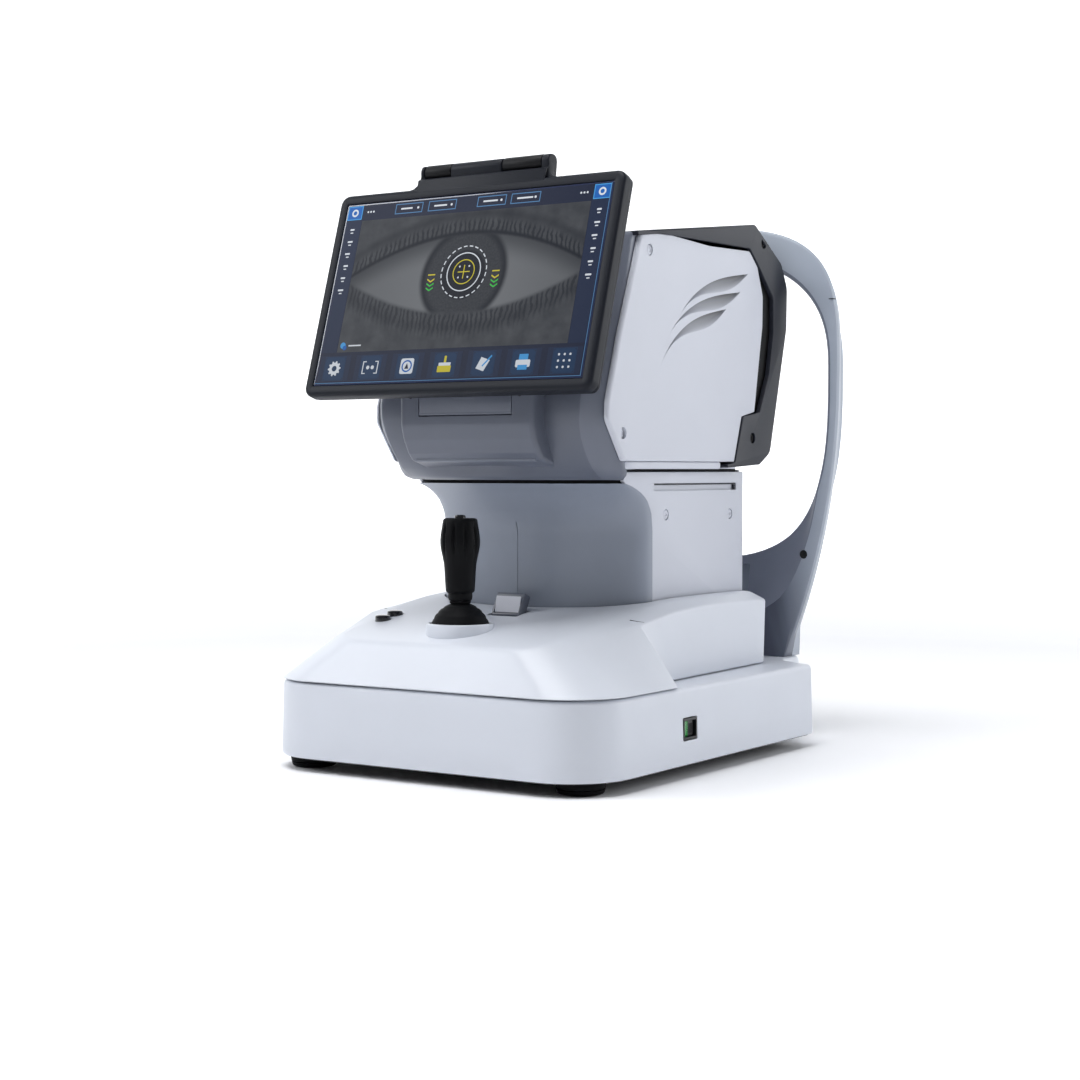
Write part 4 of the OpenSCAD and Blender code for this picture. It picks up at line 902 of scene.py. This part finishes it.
# side panels, with the front edge rolled inwards and three swept louvres
HEAD_SIDE = 99.0       # outer face of the side panels
PANEL_SCREWS = ((-57, 361), (-92, 234))
FRAME_SCREWS = ((112, 381), (95, 233))
PANEL = rounded([(-91.5, 215, 4), (-112.4, 243, 8), (-112, 255, 12), (-96.5, 302, 60), (-77.5, 349, 40),
                 (-69, 371.6, 7), (-57, 372.8, 30), (-26, 374.0, 60), (29, 371.6, 40), (91, 373.4, 5),
                 (103.8, 362.5, 5), (112.9, 341, 12), (112.4, 318, 30), (108, 296, 60), (99.5, 252.8, 1.2),
                 (79, 248.9, 1.2), (67.2, 215, 1.2)], 6)
PANEL = tidy(spaced(tidy(PANEL), 5))


def roll(p):
    """How much of the front roll-over a point of the outline takes."""
    y, z = p
    edge = -112.4 + max(0.0, z - 250) * 0.355 if z > 242 else -112.4 + (242 - z) * 0.75
    d = y - edge
    return max(0.0, min(1.0, 1 - d / 16)) ** 0.7 if 213 < z < 374 else 0.0


def panel_solid():
    """The right side panel."""
    rings = [[(HEAD_SIDE - 3, p[0], p[1]) for p in PANEL]]
    part = [roll(p) for p in PANEL]
    for i in range(7):
        t = math.pi / 2 * i / 6
        ins = [(0.8 + 3.0 * k) * (1 - math.cos(t)) for k in part]
        drop = [(0.8 + 1.8 * k) * (1 - math.sin(t)) for k in part]
        rings.append([(HEAD_SIDE - drop[j], q[0], q[1]) for j, q in enumerate(shrink(PANEL, ins))])
    return loft(rings)


def louvre(tail, tip, rise, n=20):
    """A louvre's upper and lower edge, each swept up from the tail to the tip."""
    upper, lower = [], []
    for i in range(n + 1):
        t = i / n
        y, z = (tail[j] + (tip[j] - tail[j]) * t for j in (0, 1))
        z += rise * math.sin(math.pi * t ** 0.7)
        upper.append((y, z))
        lower.append((y, z - 10.0 * math.sin(math.pi * t ** 1.6)))
    return upper, lower


LOUVRES = [louvre((-17, 315), (88, 356), 12), louvre((-32, 301), (76, 341.5), 12),
           louvre((-43, 279.5), (54, 327.5), 14)]


def scoop(upper, lower):
    """The hollow behind a louvre: flush at its lower edge, deepest under the upper one."""
    n = len(upper)
    rows = []
    for s in (0, 0.12, 0.3, 0.5, 0.7, 0.88, 1.0):
        rows.append([(98.7 - 2.55 * math.sin(math.pi / 2 * s) * min(1, 5 * j / n, 5 * (n - 1 - j) / n + 0.15),
                      lower[j][0] + (upper[j][0] - lower[j][0]) * s,
                      lower[j][1] + (upper[j][1] - lower[j][1]) * s)
                     for j in range(n)])
    return rows


# painted shade on the scoops: darkest along the upper edge and towards the tip
bowl, louvre_shade_tones = Solid(), []
for upper, lower in LOUVRES:
    rows = scoop(upper, lower)
    bowl.add(skin(rows, [[(min(x - 0.5, 96.3), y, z) for x, y, z in r] for r in rows]))
    for a, r in enumerate(rows):
        for b, p in enumerate(r):
            up, along = a / (len(rows) - 1), b / (len(r) - 1)
            louvre_shade_tones.append((min(1, up ** 0.9 * (0.85 + 0.15 * along) + 0.4 * along ** 4), p))


def louvre_shade_at(x, y, z):
    """The painted shade of the nearest point of the scoops, which lie side by side in y and z."""
    return min(louvre_shade_tones, key=lambda tone: (tone[1][1] - y) ** 2 + (tone[1][2] - z) ** 2)[0]


cuts = [Solid(prism(upper + lower[1:-1][::-1], "x", 94, 102)) for upper, lower in LOUVRES]
cuts.append(Solid(*(rod("x", x, 101, (0, y, z), 4.1, 0) for x, (y, z) in zip((96.8, 95), PANEL_SCREWS))))
for side, word in SIDES:
    name = "head_side_" + word
    make(name, Solid(panel_solid()).on(side), "head", SIDE, "head_%s_panel" % word,
         [c.on(side) for c in cuts], sharp=50)
    set_painted_shade(make(name + "_louvre_scoops_painted_shade", bowl.on(side), "head", LOUVRE_PAINTED_SHADE, sharp=60), louvre_shade_at)

# rear frame: top, back and bottom of the head, with its side bands
FRAME = tidy(rounded([(-74, 372.6, 0.9), (98, 394, 8), (142, 368, 8), (152, 350, 14), (151, 318, 20),
                      (124, 222, 10), (107, 213, 6), (56, 210.5, 0.9), (56, 213.2, 0.9), (106, 215.9, 4),
                      (121.4, 224.4, 8), (148, 318.5, 18), (149, 349.6, 11), (140, 365.6, 6),
                      (97.4, 390.8, 6), (-74, 369.4, 0.9)], 8))
BAND = tidy(rounded([(-66, 373.6, 0.4), (98, 394, 8), (142, 368, 8), (152, 350, 14), (151, 318, 20),
                     (124, 222, 10), (107, 213, 6), (56, 210.6, 1), (67.5, 215.2, 1), (80, 248.8, 1),
                     (106.5, 252.8, 1), (121.5, 281.6, 10), (128.5, 314, 12), (128.5, 341, 6),
                     (103, 364.5, 3), (90, 375.2, 2), (-60, 373.4, 0.4)], 8))
frame_openings = [Solid(rod("y", 100, 160, (0, 0, WINDOW_Z), 32.2, 0, 96)),
                  Solid(brick((-16, 44, 205), (16, 76, 218), 1, 0)),
                  Solid(rod("z", 204, 219, (40, 60, 0), 9, 0))]
make("head_frame", Solid(prism(FRAME, "x", -99.8, 99.8, 0.6, 2)), "head", CHARCOAL,
     "head_rear_frame", frame_openings, sharp=26)
holes = Solid(*(rod("x", 97.2, 103, (0, y, z), 4.1, 0) for y, z in FRAME_SCREWS))
band = Solid(prism(BAND, "x", 96.4, 99.9, 0.7, 3, 0))
for side, word in SIDES:
    make("frame_band_" + word, band.on(side), "head", CHARCOAL, (), holes.on(side),
         sharp=26)
gap_line = [(76, 246), (112, 248), (131, 282), (139, 314), (138, 346), (110, 370), (80, 374)]
# near-black sheets behind the gap between the side panels and the frame's bands, painted shadow
make("frame_gap_painted_shadow", Solid().pair(prism(gap_line, "x", 91.5, 95.4, 0.3, 2)), "head", BLACK_FOR_GAPS_AND_SHADE)
surround = [(32, 137), (32, 151.4), (31.2, 152), (29.5, 152), (28.6, 151.2), (24, 148.4), (21.2, 147),
            (20.05, 146.6), (20.05, 137), (32, 137)]
make("window_surround", Solid(lathe(surround, 96, (0, 0, WINDOW_Z), "y")), "head", BLACK,
     "window_ring", sharp=26)
turn = [math.pi / 2 * i / 12 for i in range(12)]
dome = [(19.9, 140.4)] + [(19.9 * math.cos(t), 143.6 + 2.2 * math.sin(t)) for t in turn] + [(0.3, 145.8)]
make("lens", Solid(lathe(dome, 72, (0, 0, WINDOW_Z), "y")), "head", LENS, "objective_lens",
     sharp=50)


def screw_head(x, y, z, r=3.5):
    """A dished screw head, flush at x on the right side."""
    return lathe([(r, x - 1.0), (r, x - 0.5), (r * 0.86, x - 0.15), (r * 0.5, x), (r * 0.42, x - 0.5),
                  (r * 0.1, x - 0.6)], 28, (0, y, z), "x")


heads = Solid()
for x, (y, z) in zip((98.7, 97.4), PANEL_SCREWS):
    heads.pair(screw_head(x, y, z), 0)
# the screws in the frame's holes in near black, painted shade in the holes
for y, z in FRAME_SCREWS:
    heads.pair(screw_head(98.6, y, z), 1)
make("head_screws", heads, "head", [SIDE, BLACK_FOR_GAPS_AND_SHADE], "cover_screws", sharp=40)

# ------------------------------------------------------------------ hinge
HINGE_AT = (0, -113.3, 418)
arms = Solid()
for a, b in ((-49, -26.4), (17.4, 49.6)):
    arms.add(rod("x", a, b, HINGE_AT, 5.5, 0.9, 48))
    web = rounded([(-79, 366, 0.5), (-75.5, 371.4, 0.5), (-103.6, 419.2, 3), (-112.0, 423.3, 0.6),
                   (-114.2, 414, 0.6), (-105.5, 410.6, 3), (-87.2, 366, 0.5)], 4)
    arms.add(prism(web, "x", a + 1.6, b - 1.6, 0.8, 2))
make("hinge_arm_pair", arms, "head", HINGE, "hinge_arms", sharp=34)

# ------------------------------------------------------------------ screen
LEAN = math.radians(17)
AT = Matrix.Translation((0, -168, 261)) @ Matrix.Rotation(math.radians(90) - LEAN, 4, "X")
W, H = 240.0, 152.5
GLASS_INSET = 7.6


def on_screen(vf):
    """Moves a shape drawn face up at the origin (u, v, height above the face) to the screen."""
    return [tuple(AT @ Vector(p)) for p in vf[0]], vf[1]


def panel(u0, v0, u1, v1, r, n=8):
    """A rectangle with rounded corners."""
    return rounded([(u0, v0, r), (u1, v0, r), (u1, v1, r), (u0, v1, r)], n)


def stack(steps, r, inset=0.0):
    """The screen's outline, at each (distance inwards, height)."""
    base = tidy(panel(inset - W / 2, inset, W / 2 - inset, H - inset, r, 10))
    return [[(p[0], p[1], h) for p in shrink(base, d)] for d, h in steps]


bezel = stack([(1.2, -10.0), (0.25, -9.4), (0.0, -8.4), (0.0, -2.6), (0.4, -1.3), (1.3, -0.45), (2.6, -0.08),
               (3.6, 0.0), (7.0, 0.0), (7.25, -0.12), (7.4, -0.5), (7.4, -4.4), (9.5, -4.4), (9.5, -10.0)],
              7.2)
make("screen_frame", Solid(on_screen(hoop(bezel))), "screen", BEZEL, "screen_bezel",
     sharp=34)
rear = stack([(1.6, -10.0), (1.6, -10.4), (1.1, -10.6), (1.0, -11.4), (1.0, -12.4), (1.9, -13.9),
              (4.2, -14.8), (7.5, -15.0)], 6.2)
back = Solid(on_screen(loft(rear)))
for a, b in ((-52, -49.4), (-26, 17), (50, 56)):
    lug = rounded([(-110.2, 400, 0.5), (-118.6, 400.0, 0.5), (-119.0, 418.5, 5.0), (-118.2, 423.2, 4.6),
                   (-108.0, 423.2, 4.6), (-107.8, 418.0, 5.0)], 6)
    back.add(prism(lug, "x", a, b, min(0.9, (b - a) * 0.25), 3))
for i in range(9):
    u = -44 + 11 * i
    back.add(on_screen(brick((u, 44, -15.35), (u + 5, 78, -14.6), 2.4, 0.2)))
back.add(prism([(-124.2, 404), (-122, 412.5), (-119.8, 413.5), (-119.4, 412.4), (-119.6, 404)], "x", -52, 56,
               0.3, 2))
for side_u, s in ((-52, -1), (56, 1)):
    fillet = [(side_u - s * 3, 151), (side_u + s * 10, 151), (side_u + s * 10, 152.4),
              (side_u + s * 5, 153.6), (side_u + s * 2, 156.2), (side_u + s * 0.6, 160), (side_u, 165),
              (side_u - s * 3, 165)]
    back.add(on_screen(prism(fillet, "z", -9.0, -2.4, 0.4, 2)))
make("screen_rear", back, "screen", BEZEL, "screen_back", sharp=30)
glass = stack([(0.6, -4.2), (0.1, -3.9), (0.0, -0.9), (0.3, -0.55), (0.7, -0.45)], 1.2, GLASS_INSET)
make("screen_glass", Solid(on_screen(loft(glass))), "screen", GLASS, "display_panel",
     sharp=34)

# The picture: a generic eye and a generic row of tools, drawn in relief of a few hundredths of a millimetre
U0, U1, V0, V1 = -111.0, 111.0, 9.0, 143.5
EU, EV = 2.0, 87.0     # middle of the eye
APART = 0.01           # keeps neighbouring patches from sharing an edge
DISPLAY_BASE = (0.008, 0.01, 0.016, 1)
NAVY, PANEL_BLUE, TILE, TILE_EDGE, BLUE, WHITE, YELLOW, LIME, SKY = range(9)
UI_COLOURS = (("navy", (26, 34, 62), 0.55), ("panel", (30, 44, 76), 0.6), ("tile", (24, 58, 96), 0.7),
              ("tile_edge", (88, 140, 190), 0.8), ("blue", (22, 98, 182), 0.9),
              ("white", (226, 232, 240), 0.9), ("yellow", (214, 200, 40), 0.9), ("green", (60, 196, 70), 0.9),
              ("sky", (70, 160, 226), 0.9))
UI = Solid()


def glow_colour(name, rgb, strength):
    """A lit area of the display: a soft gradient up the screen."""
    mat, tree, bsdf = new_material("ui_" + name)
    split = shader(tree, "SeparateXYZ", {"Vector": shader(tree, "TexCoord", {}).outputs["Object"]})
    ramp = shader(tree, "MapRange", {"From Min": 0.26, "From Max": 0.41, "Value": split.outputs["Z"]})
    mix = shader(tree, "Mix", {"A": srgb(*(c * 0.86 for c in rgb)), "B": srgb(*rgb),
                               "Factor": ramp.outputs["Result"]}, data_type="RGBA")
    fill(tree, bsdf, {"Emission Color": mix.outputs["Result"], "Emission Strength": strength,
                      "Base Color": DISPLAY_BASE, "Roughness": 0.25, "Specular IOR Level": 0.06})
    return mat


def heights(level):
    """Lower and upper face of a patch of the picture."""
    return -0.47 + 0.03 * level, -0.42 + 0.03 * level


def flat(outline, level, m):
    """A thin raised patch of the picture."""
    UI.add(on_screen(prism(outline, "z", *heights(level))), m)


def ring_patch(r0, r1, level, m, a0=0, a1=360, n=40):
    """A ring about the middle of the eye, or a part of one."""
    lo, hi = heights(level)
    whole = a1 - a0 == 360
    sections = []
    for i in range(n if whole else n + 1):
        a = math.radians(a0 + (a1 - a0) * i / n)
        sections.append([(EU + r * math.cos(a), EV + r * math.sin(a), h)
                         for r, h in ((r0, lo), (r1, lo), (r1, hi), (r0, hi))])
    UI.add(on_screen(hoop(sections) if whole else loft(sections)), m)


def disc(u, v, r, level, m, n=32):
    """A round patch of the picture."""
    flat([(u + r * math.cos(2 * math.pi * i / n), v + r * math.sin(2 * math.pi * i / n)) for i in range(n)],
         level, m)


def bar(u0, v0, u1, v1, level, m, r=0.0):
    """A rectangular patch of the picture."""
    flat(panel(u0, v0, u1, v1, r, 4) if r else [(u0, v0), (u1, v0), (u1, v1), (u0, v1)], level, m)


def block(u, v, half_u, half_v, level, m, r=0.0):
    """A bar about its middle."""
    bar(u - half_u, v - half_v, u + half_u, v + half_v, level, m, r)


def outline_box(u0, v0, u1, v1, t, level, m):
    """Four thin bars round a rectangle."""
    bar(u0, v0, u1, v0 + t, level, m)
    bar(u0, v1 - t, u1, v1, level, m)
    bar(u0, v0 + t + APART, u0 + t, v1 - t - APART, level, m)
    bar(u1 - t, v0 + t + APART, u1, v1 - t - APART, level, m)


def draw_bars():
    """The top bar's boxes, dashes and dots, and the marks down both sides."""
    bar(U0, V0, U1, V1, 1, NAVY)
    for s in (-1, 1):
        u = s * 104.2
        bar(u - 6.6, 132.6, u + 6.6, 143.2, 2, BLUE)
        outline_box(u - 6.6, 132.6, u + 6.6, 143.2, 0.7, 3, SKY)
        disc(u, 137.9, 2.9, 3, WHITE)
        disc(u, 137.9, 1.6, 4, BLUE)
        for j in range(3):
            disc(s * 90 - 2.5 + 2.5 * j, 138, 0.75, 3, WHITE)
        bar(s * 104 - 7, 32, s * 104 + 7, 132, 2, PANEL_BLUE)
        for j in range(6):
            v = 124.5 - 9.2 * j
            bar(s * 104 - 1.8 - 0.4 * (j % 3), v, s * 104 + 1.8 + 0.4 * (j % 2), v + 1.3, 3, WHITE, 0.4)
            bar(s * 104 - 1.2, v - 2.2, s * 104 + 1.2, v - 1.4, 3, WHITE)
    for j, u in enumerate((-56, -27, 15, 43)):
        outline_box(u - 12, 134.4, u + 12, 142, 0.6, 2, TILE_EDGE)
        bar(u - 7, 137.6, u + 3 + j, 138.8, 2, WHITE)
        disc(u + 8, 138.2, 0.9, 2, WHITE)
    disc(-92, 37, 2.3, 6, SKY)
    disc(-90.2, 35.2, 1.7, 7, BLUE)
    bar(-87, 36.2, -76, 37.2, 6, WHITE)
    bar(U0, V0, U1, V0 + 0.5, 9, TILE_EDGE)
    bar(U1 - 0.5, V0 + 0.5 + APART, U1, V1, 9, TILE_EDGE)


def draw_tools():
    """Seven tiles along the foot of the screen, each with a plain sign."""
    c = 20.0
    tools = [-96 + 32 * j for j in range(7)]
    for u in tools:
        bar(u - 13.5, 10.5, u + 13.5, 29.5, 2, PANEL_BLUE)
        outline_box(u - 9.2, 11.2, u + 9.2, 28.8, 0.45, 3, TILE)
        bar(u - 8.6, 11.8, u + 8.6, 28.2, 3, TILE, 2.0)
    gear, bracket, knob, brush, tablet, printer, menu = tools
    teeth = [(2 * math.pi * i / 40, 5.6 if i % 4 < 2 else 4.4) for i in range(40)]
    flat([(gear + r * math.cos(a), c + r * math.sin(a)) for a, r in teeth], 5, WHITE)
    disc(gear, c, 2.1, 6, TILE)
    for s in (-1, 1):
        block(bracket + s * 6.4, c, 0.4, 4.6, 5, WHITE)
        for t in (-1, 1):
            block(bracket + s * 5.1, c + t * 4.3, 1.3, 0.35, 5, WHITE)
        disc(bracket + s * 2, c, 1.4, 5, WHITE)
    block(knob, c, 5.6, 5.6, 5, WHITE, 1.6)
    disc(knob, c, 4.4, 6, BLUE)
    disc(knob, c, 3.3, 7, WHITE)
    flat([(knob - 1.8, c - 2.0), (knob + 1.8, c - 2.0), (knob, c + 2.2)], 8, NAVY)
    bar(brush - 5.6, c - 5.2, brush + 5.6, c - 0.6, 5, YELLOW, 0.6)
    bar(brush - 5.0, c - 0.6, brush + 5.0, c + 1.6, 5, WHITE, 0.4)
    bar(brush - 0.9, c + 1.6, brush + 0.9, c + 6.4, 5, YELLOW, 0.4)
    sheet = [(-5.6, -3.4), (1.0, -5.6), (5.0, 2.2), (-2.2, 4.6)]
    pen = [(-1.0, -1.6), (-0.2, -2.4), (6.6, 5.0), (5.8, 5.8)]
    flat([(tablet + x, c + y) for x, y in sheet], 5, WHITE)
    flat([(tablet + x, c + y) for x, y in pen], 6, SKY)
    bar(printer - 5.8, c - 3.6, printer + 5.8, c + 1.6, 5, WHITE, 1.0)
    bar(printer - 3.6, c + 1.6, printer + 3.6, c + 5.6, 5, SKY, 0.4)
    bar(printer - 3.8, c - 5.4, printer + 3.8, c - 2.0, 6, SKY, 0.3)
    for i in range(3):
        for j in range(3):
            disc(menu - 4.4 + 4.4 * i, c - 4.4 + 4.4 * j, 0.85, 5, WHITE, 12)


def draw_measuring_marks():
    """Rings, a cross and chevrons over the eye."""
    for i in range(24):
        ring_patch(18.4, 19.2, 6, WHITE, i * 15 + 2, i * 15 + 11, 4)
    ring_patch(13.4, 14.2, 6, WHITE, n=56)
    ring_patch(8.4, 9.1, 6, YELLOW, n=48)
    block(EU, EV, 5, 0.35, 6, YELLOW)
    block(EU, EV, 0.35, 5, 7, YELLOW)
    for i in range(4):
        a = math.radians(45 + 90 * i)
        disc(EU + 5.6 * math.cos(a), EV + 5.6 * math.sin(a), 0.7, 6, WHITE, 12)
    for s in (-1, 1):
        u = EU + s * 27
        bar(u - 3, EV - 1.2, u + 3, EV - 0.3, 6, YELLOW)
        for j in range(3):
            v = EV - 4.4 - 3.2 * j
            for t in (-1, 1):
                flat([(u + t * APART, v - 2.0), (u + t * APART, v - 0.9), (u + t * 3.0, v + 1.0),
                      (u + t * 3.0, v - 0.1)], 6, LIME if j else YELLOW)


draw_bars()
draw_tools()
draw_measuring_marks()
make("screen_interface", UI, "screen", [glow_colour(*colour) for colour in UI_COLOURS],
     sharp=20)


def eye_picture():
    """A generic grey eye, drawn with shading nodes only: lids, white, iris, pupil and lashes."""
    mat, tree, bsdf = new_material("ui_eye")

    def maths(op, a, b=None):
        return shader(tree, "Math", {0: a} if b is None else {0: a, 1: b}, operation=op).outputs[0]

    def times(a, b):
        return maths("MULTIPLY", a, b)

    def ease(v, lo, hi, a=0.0, b=1.0):
        """Goes smoothly from a to b as v goes from lo to hi."""
        return shader(tree, "MapRange", {"From Min": lo, "From Max": hi, "To Min": a, "To Max": b,
                                         "Value": v},
                      interpolation_type="SMOOTHSTEP").outputs["Result"]

    def blend(mask, a, b):
        return shader(tree, "Mix", {"Factor": mask, "A": a, "B": b}).outputs["Result"]

    uv = shader(tree, "Attribute", {}, attribute_name="place").outputs["Vector"]
    split = shader(tree, "SeparateXYZ", {"Vector": uv})
    u, v = split.outputs["X"], split.outputs["Y"]
    mottle = shader(tree, "TexNoise", {"Scale": 5.0, "Detail": 8.0, "Vector": uv}).outputs["Fac"]
    fibre = shader(tree, "TexNoise", {"Scale": 40.0, "Detail": 6.0, "Vector": uv}).outputs["Fac"]
    r = maths("SQRT", maths("ADD", times(u, u), times(v, v)))
    # how far a point is inside the upper and the lower lid
    upper = maths("SUBTRACT", maths("SUBTRACT", 0.5, times(times(u, u), 0.17)), v)
    lower = maths("ADD", v, maths("SUBTRACT", 0.46, times(times(u, u), 0.17)))
    opened = times(ease(upper, -0.02, 0.05), ease(lower, -0.02, 0.05))
    skin_tone = maths("ADD", times(mottle, 0.08), 0.015)
    fold = ease(maths("ABSOLUTE", maths("ADD", upper, 0.22)), 0.0, 0.10, 0.55, 1.0)
    skin_tone = times(skin_tone, fold)
    skin_tone = times(skin_tone, ease(maths("ABSOLUTE", maths("ADD", lower, 0.16)), 0.0, 0.12, 0.7, 1.0))
    white = maths("SUBTRACT", 0.20, times(maths("ABSOLUTE", u), 0.05))
    white = times(white, ease(upper, 0.0, 0.35, 0.35, 1.0))
    iris = maths("ADD", times(fibre, 0.05), 0.01)
    iris = blend(ease(r, 0.46, 0.55), iris, 0.008)
    eye = blend(ease(r, 0.54, 0.62), iris, white)
    eye = blend(ease(r, 0.27, 0.31), 0.004, eye)
    tone = blend(opened, skin_tone, eye)
    wave = shader(tree, "TexWave", {"Scale": 5.0, "Distortion": 5.5, "Detail": 3.0, "Detail Scale": 1.2,
                                    "Vector": uv},
                  wave_type="BANDS", bands_direction="X")
    above = times(ease(times(upper, -1.0), -0.04, 0.02), ease(times(upper, -1.0), 0.10, 0.2, 1.0, 0.0))
    below = times(ease(times(lower, -1.0), -0.02, 0.03), ease(times(lower, -1.0), 0.12, 0.34, 1.0, 0.0))
    lash = times(ease(wave.outputs["Fac"], 0.45, 0.75), maths("MAXIMUM", above, times(below, 0.85)))
    tone = blend(times(lash, 0.8), tone, 0.006)
    lid_line = ease(maths("ABSOLUTE", upper), 0.0, 0.045, 1.0, 0.0)
    tone = blend(lid_line, tone, 0.005)
    tint = shader(tree, "Mix", {"A": (0, 0, 0, 1), "B": (0.92, 0.96, 1.0, 1), "Factor": tone},
                  data_type="RGBA")
    fill(tree, bsdf, {"Emission Color": tint.outputs["Result"], "Base Color": DISPLAY_BASE,
                      "Emission Strength": 0.8, "Roughness": 0.3, "Specular IOR Level": 0.06})
    return mat


# the eye's patch of the display, finely divided, with each point's place about the pupil stored on it
EYE_U, EYE_V, EYE_RADIUS = 96.5, (32.0, 131.6), 62.0
cols, lines = 60, 40
low, high = ([[AT @ Vector((EYE_U * (2 * i / cols - 1), EYE_V[0] + (EYE_V[1] - EYE_V[0]) * j / lines, level))
               for i in range(cols + 1)] for j in range(lines + 1)] for level in (-0.43, -0.37))
eye_patch = make("screen_eye", Solid(skin(low, high)), "screen", eye_picture(), sharp=20)
layer = eye_patch.data.attributes.new("place", "FLOAT_VECTOR", "POINT")
for vert in eye_patch.data.vertices:
    p = AT.inverted() @ (Vector(vert.co) / MM)
    layer.data[vert.index].vector = ((p.x - EU) / EYE_RADIUS, (p.y - EV + 2) / EYE_RADIUS, 0)

# ------------------------------------------------------------------ camera, floor and light
cam = bpy.data.objects.new("camera", bpy.data.cameras.new("camera"))
bpy.context.scene.collection.objects.link(cam)
cam.location = (0.799885, -1.248359, 0.209497)
cam.rotation_euler = (math.radians(87.963), 0, math.radians(33.617))
cam.data.lens, cam.data.sensor_width = 66.33, 36
cam.data.clip_start, cam.data.clip_end = 0.05, 50
bpy.context.scene.camera = cam

PALE = (0.97, 0.985, 1.0, 1)


def stage_sheet(name, corners, mat):
    """A flat sheet of the studio."""
    mesh = bpy.data.meshes.new(name)
    mesh.from_pydata(corners, [], [(0, 1, 2, 3)])
    mesh.materials.append(mat)
    obj = bpy.data.objects.new(name, mesh)
    bpy.context.scene.collection.objects.link(obj)


# the floor glows a little, more and more away from the object, so that it fades into the backdrop
ground = finish_of("studio_floor", (250, 250, 252), 0.7, vary=0.004, grain=0.02, size=300)
tree = ground.node_tree
spot = shader(tree, "TexCoord", {})
away_by = shader(tree, "VectorMath", {0: spot.outputs["Object"]}, operation="LENGTH")
glow_by = shader(tree, "MapRange", {"From Min": 1.0, "From Max": 3.2, "To Min": 0.0, "To Max": 0.8,
                                    "Value": away_by.outputs["Value"]})
fill(tree, tree.nodes["Principled BSDF"], {"Emission Color": PALE,
                                           "Emission Strength": glow_by.outputs["Result"]})
stage_sheet("floor", [(-6, -6, -0.0005), (6, -6, -0.0005), (6, 6, -0.0005), (-6, 6, -0.0005)], ground)

world = bpy.data.worlds.new("studio")
world.use_nodes = True
fill(world.node_tree, world.node_tree.nodes["Background"], {"Color": (0.93, 0.96, 1.0, 1), "Strength": 0.19})
bpy.context.scene.world = world


def lamp(name, place_at, aim, size, watts, colour):
    """A round soft lamp, aimed at a point."""
    data = bpy.data.lights.new(name, "AREA")
    data.shape, data.size, data.energy, data.color = "DISK", size, watts, colour
    obj = bpy.data.objects.new(name, data)
    bpy.context.scene.collection.objects.link(obj)
    obj.location = place_at
    obj.rotation_euler = (Vector(aim) - Vector(place_at)).to_track_quat("-Z", "Y").to_euler()


lamp("left", (-1.76, -1.48, 1.6), (0, 0, 0.2), 1.2, 21, (0.97, 0.985, 1.0))
lamp("right", (1.74, 1.46, 0.8), (0, 0, 0.25), 1.4, 19, (0.96, 0.98, 1.0))
lamp("top", (0.0, -0.6, 2.1), (0, -0.05, 0.2), 1.4, 34, (0.98, 0.99, 1.0))
wall_paint, wall_tree, wall_bsdf = new_material("studio_wall")
fill(wall_tree, wall_bsdf, {"Emission Color": PALE, "Emission Strength": 0.75})
away = Vector((-0.5536, 0.8327, 0))
beside = Vector((0.8327, 0.5536, 0))
stage_sheet("backdrop", [away * 4.5 + beside * 9 * i + Vector((0, 0, h))
                         for i, h in ((-1, -0.1), (1, -0.1), (1, 7), (-1, 7))], wall_paint)
bpy.context.scene.view_settings.view_transform = "Standard"
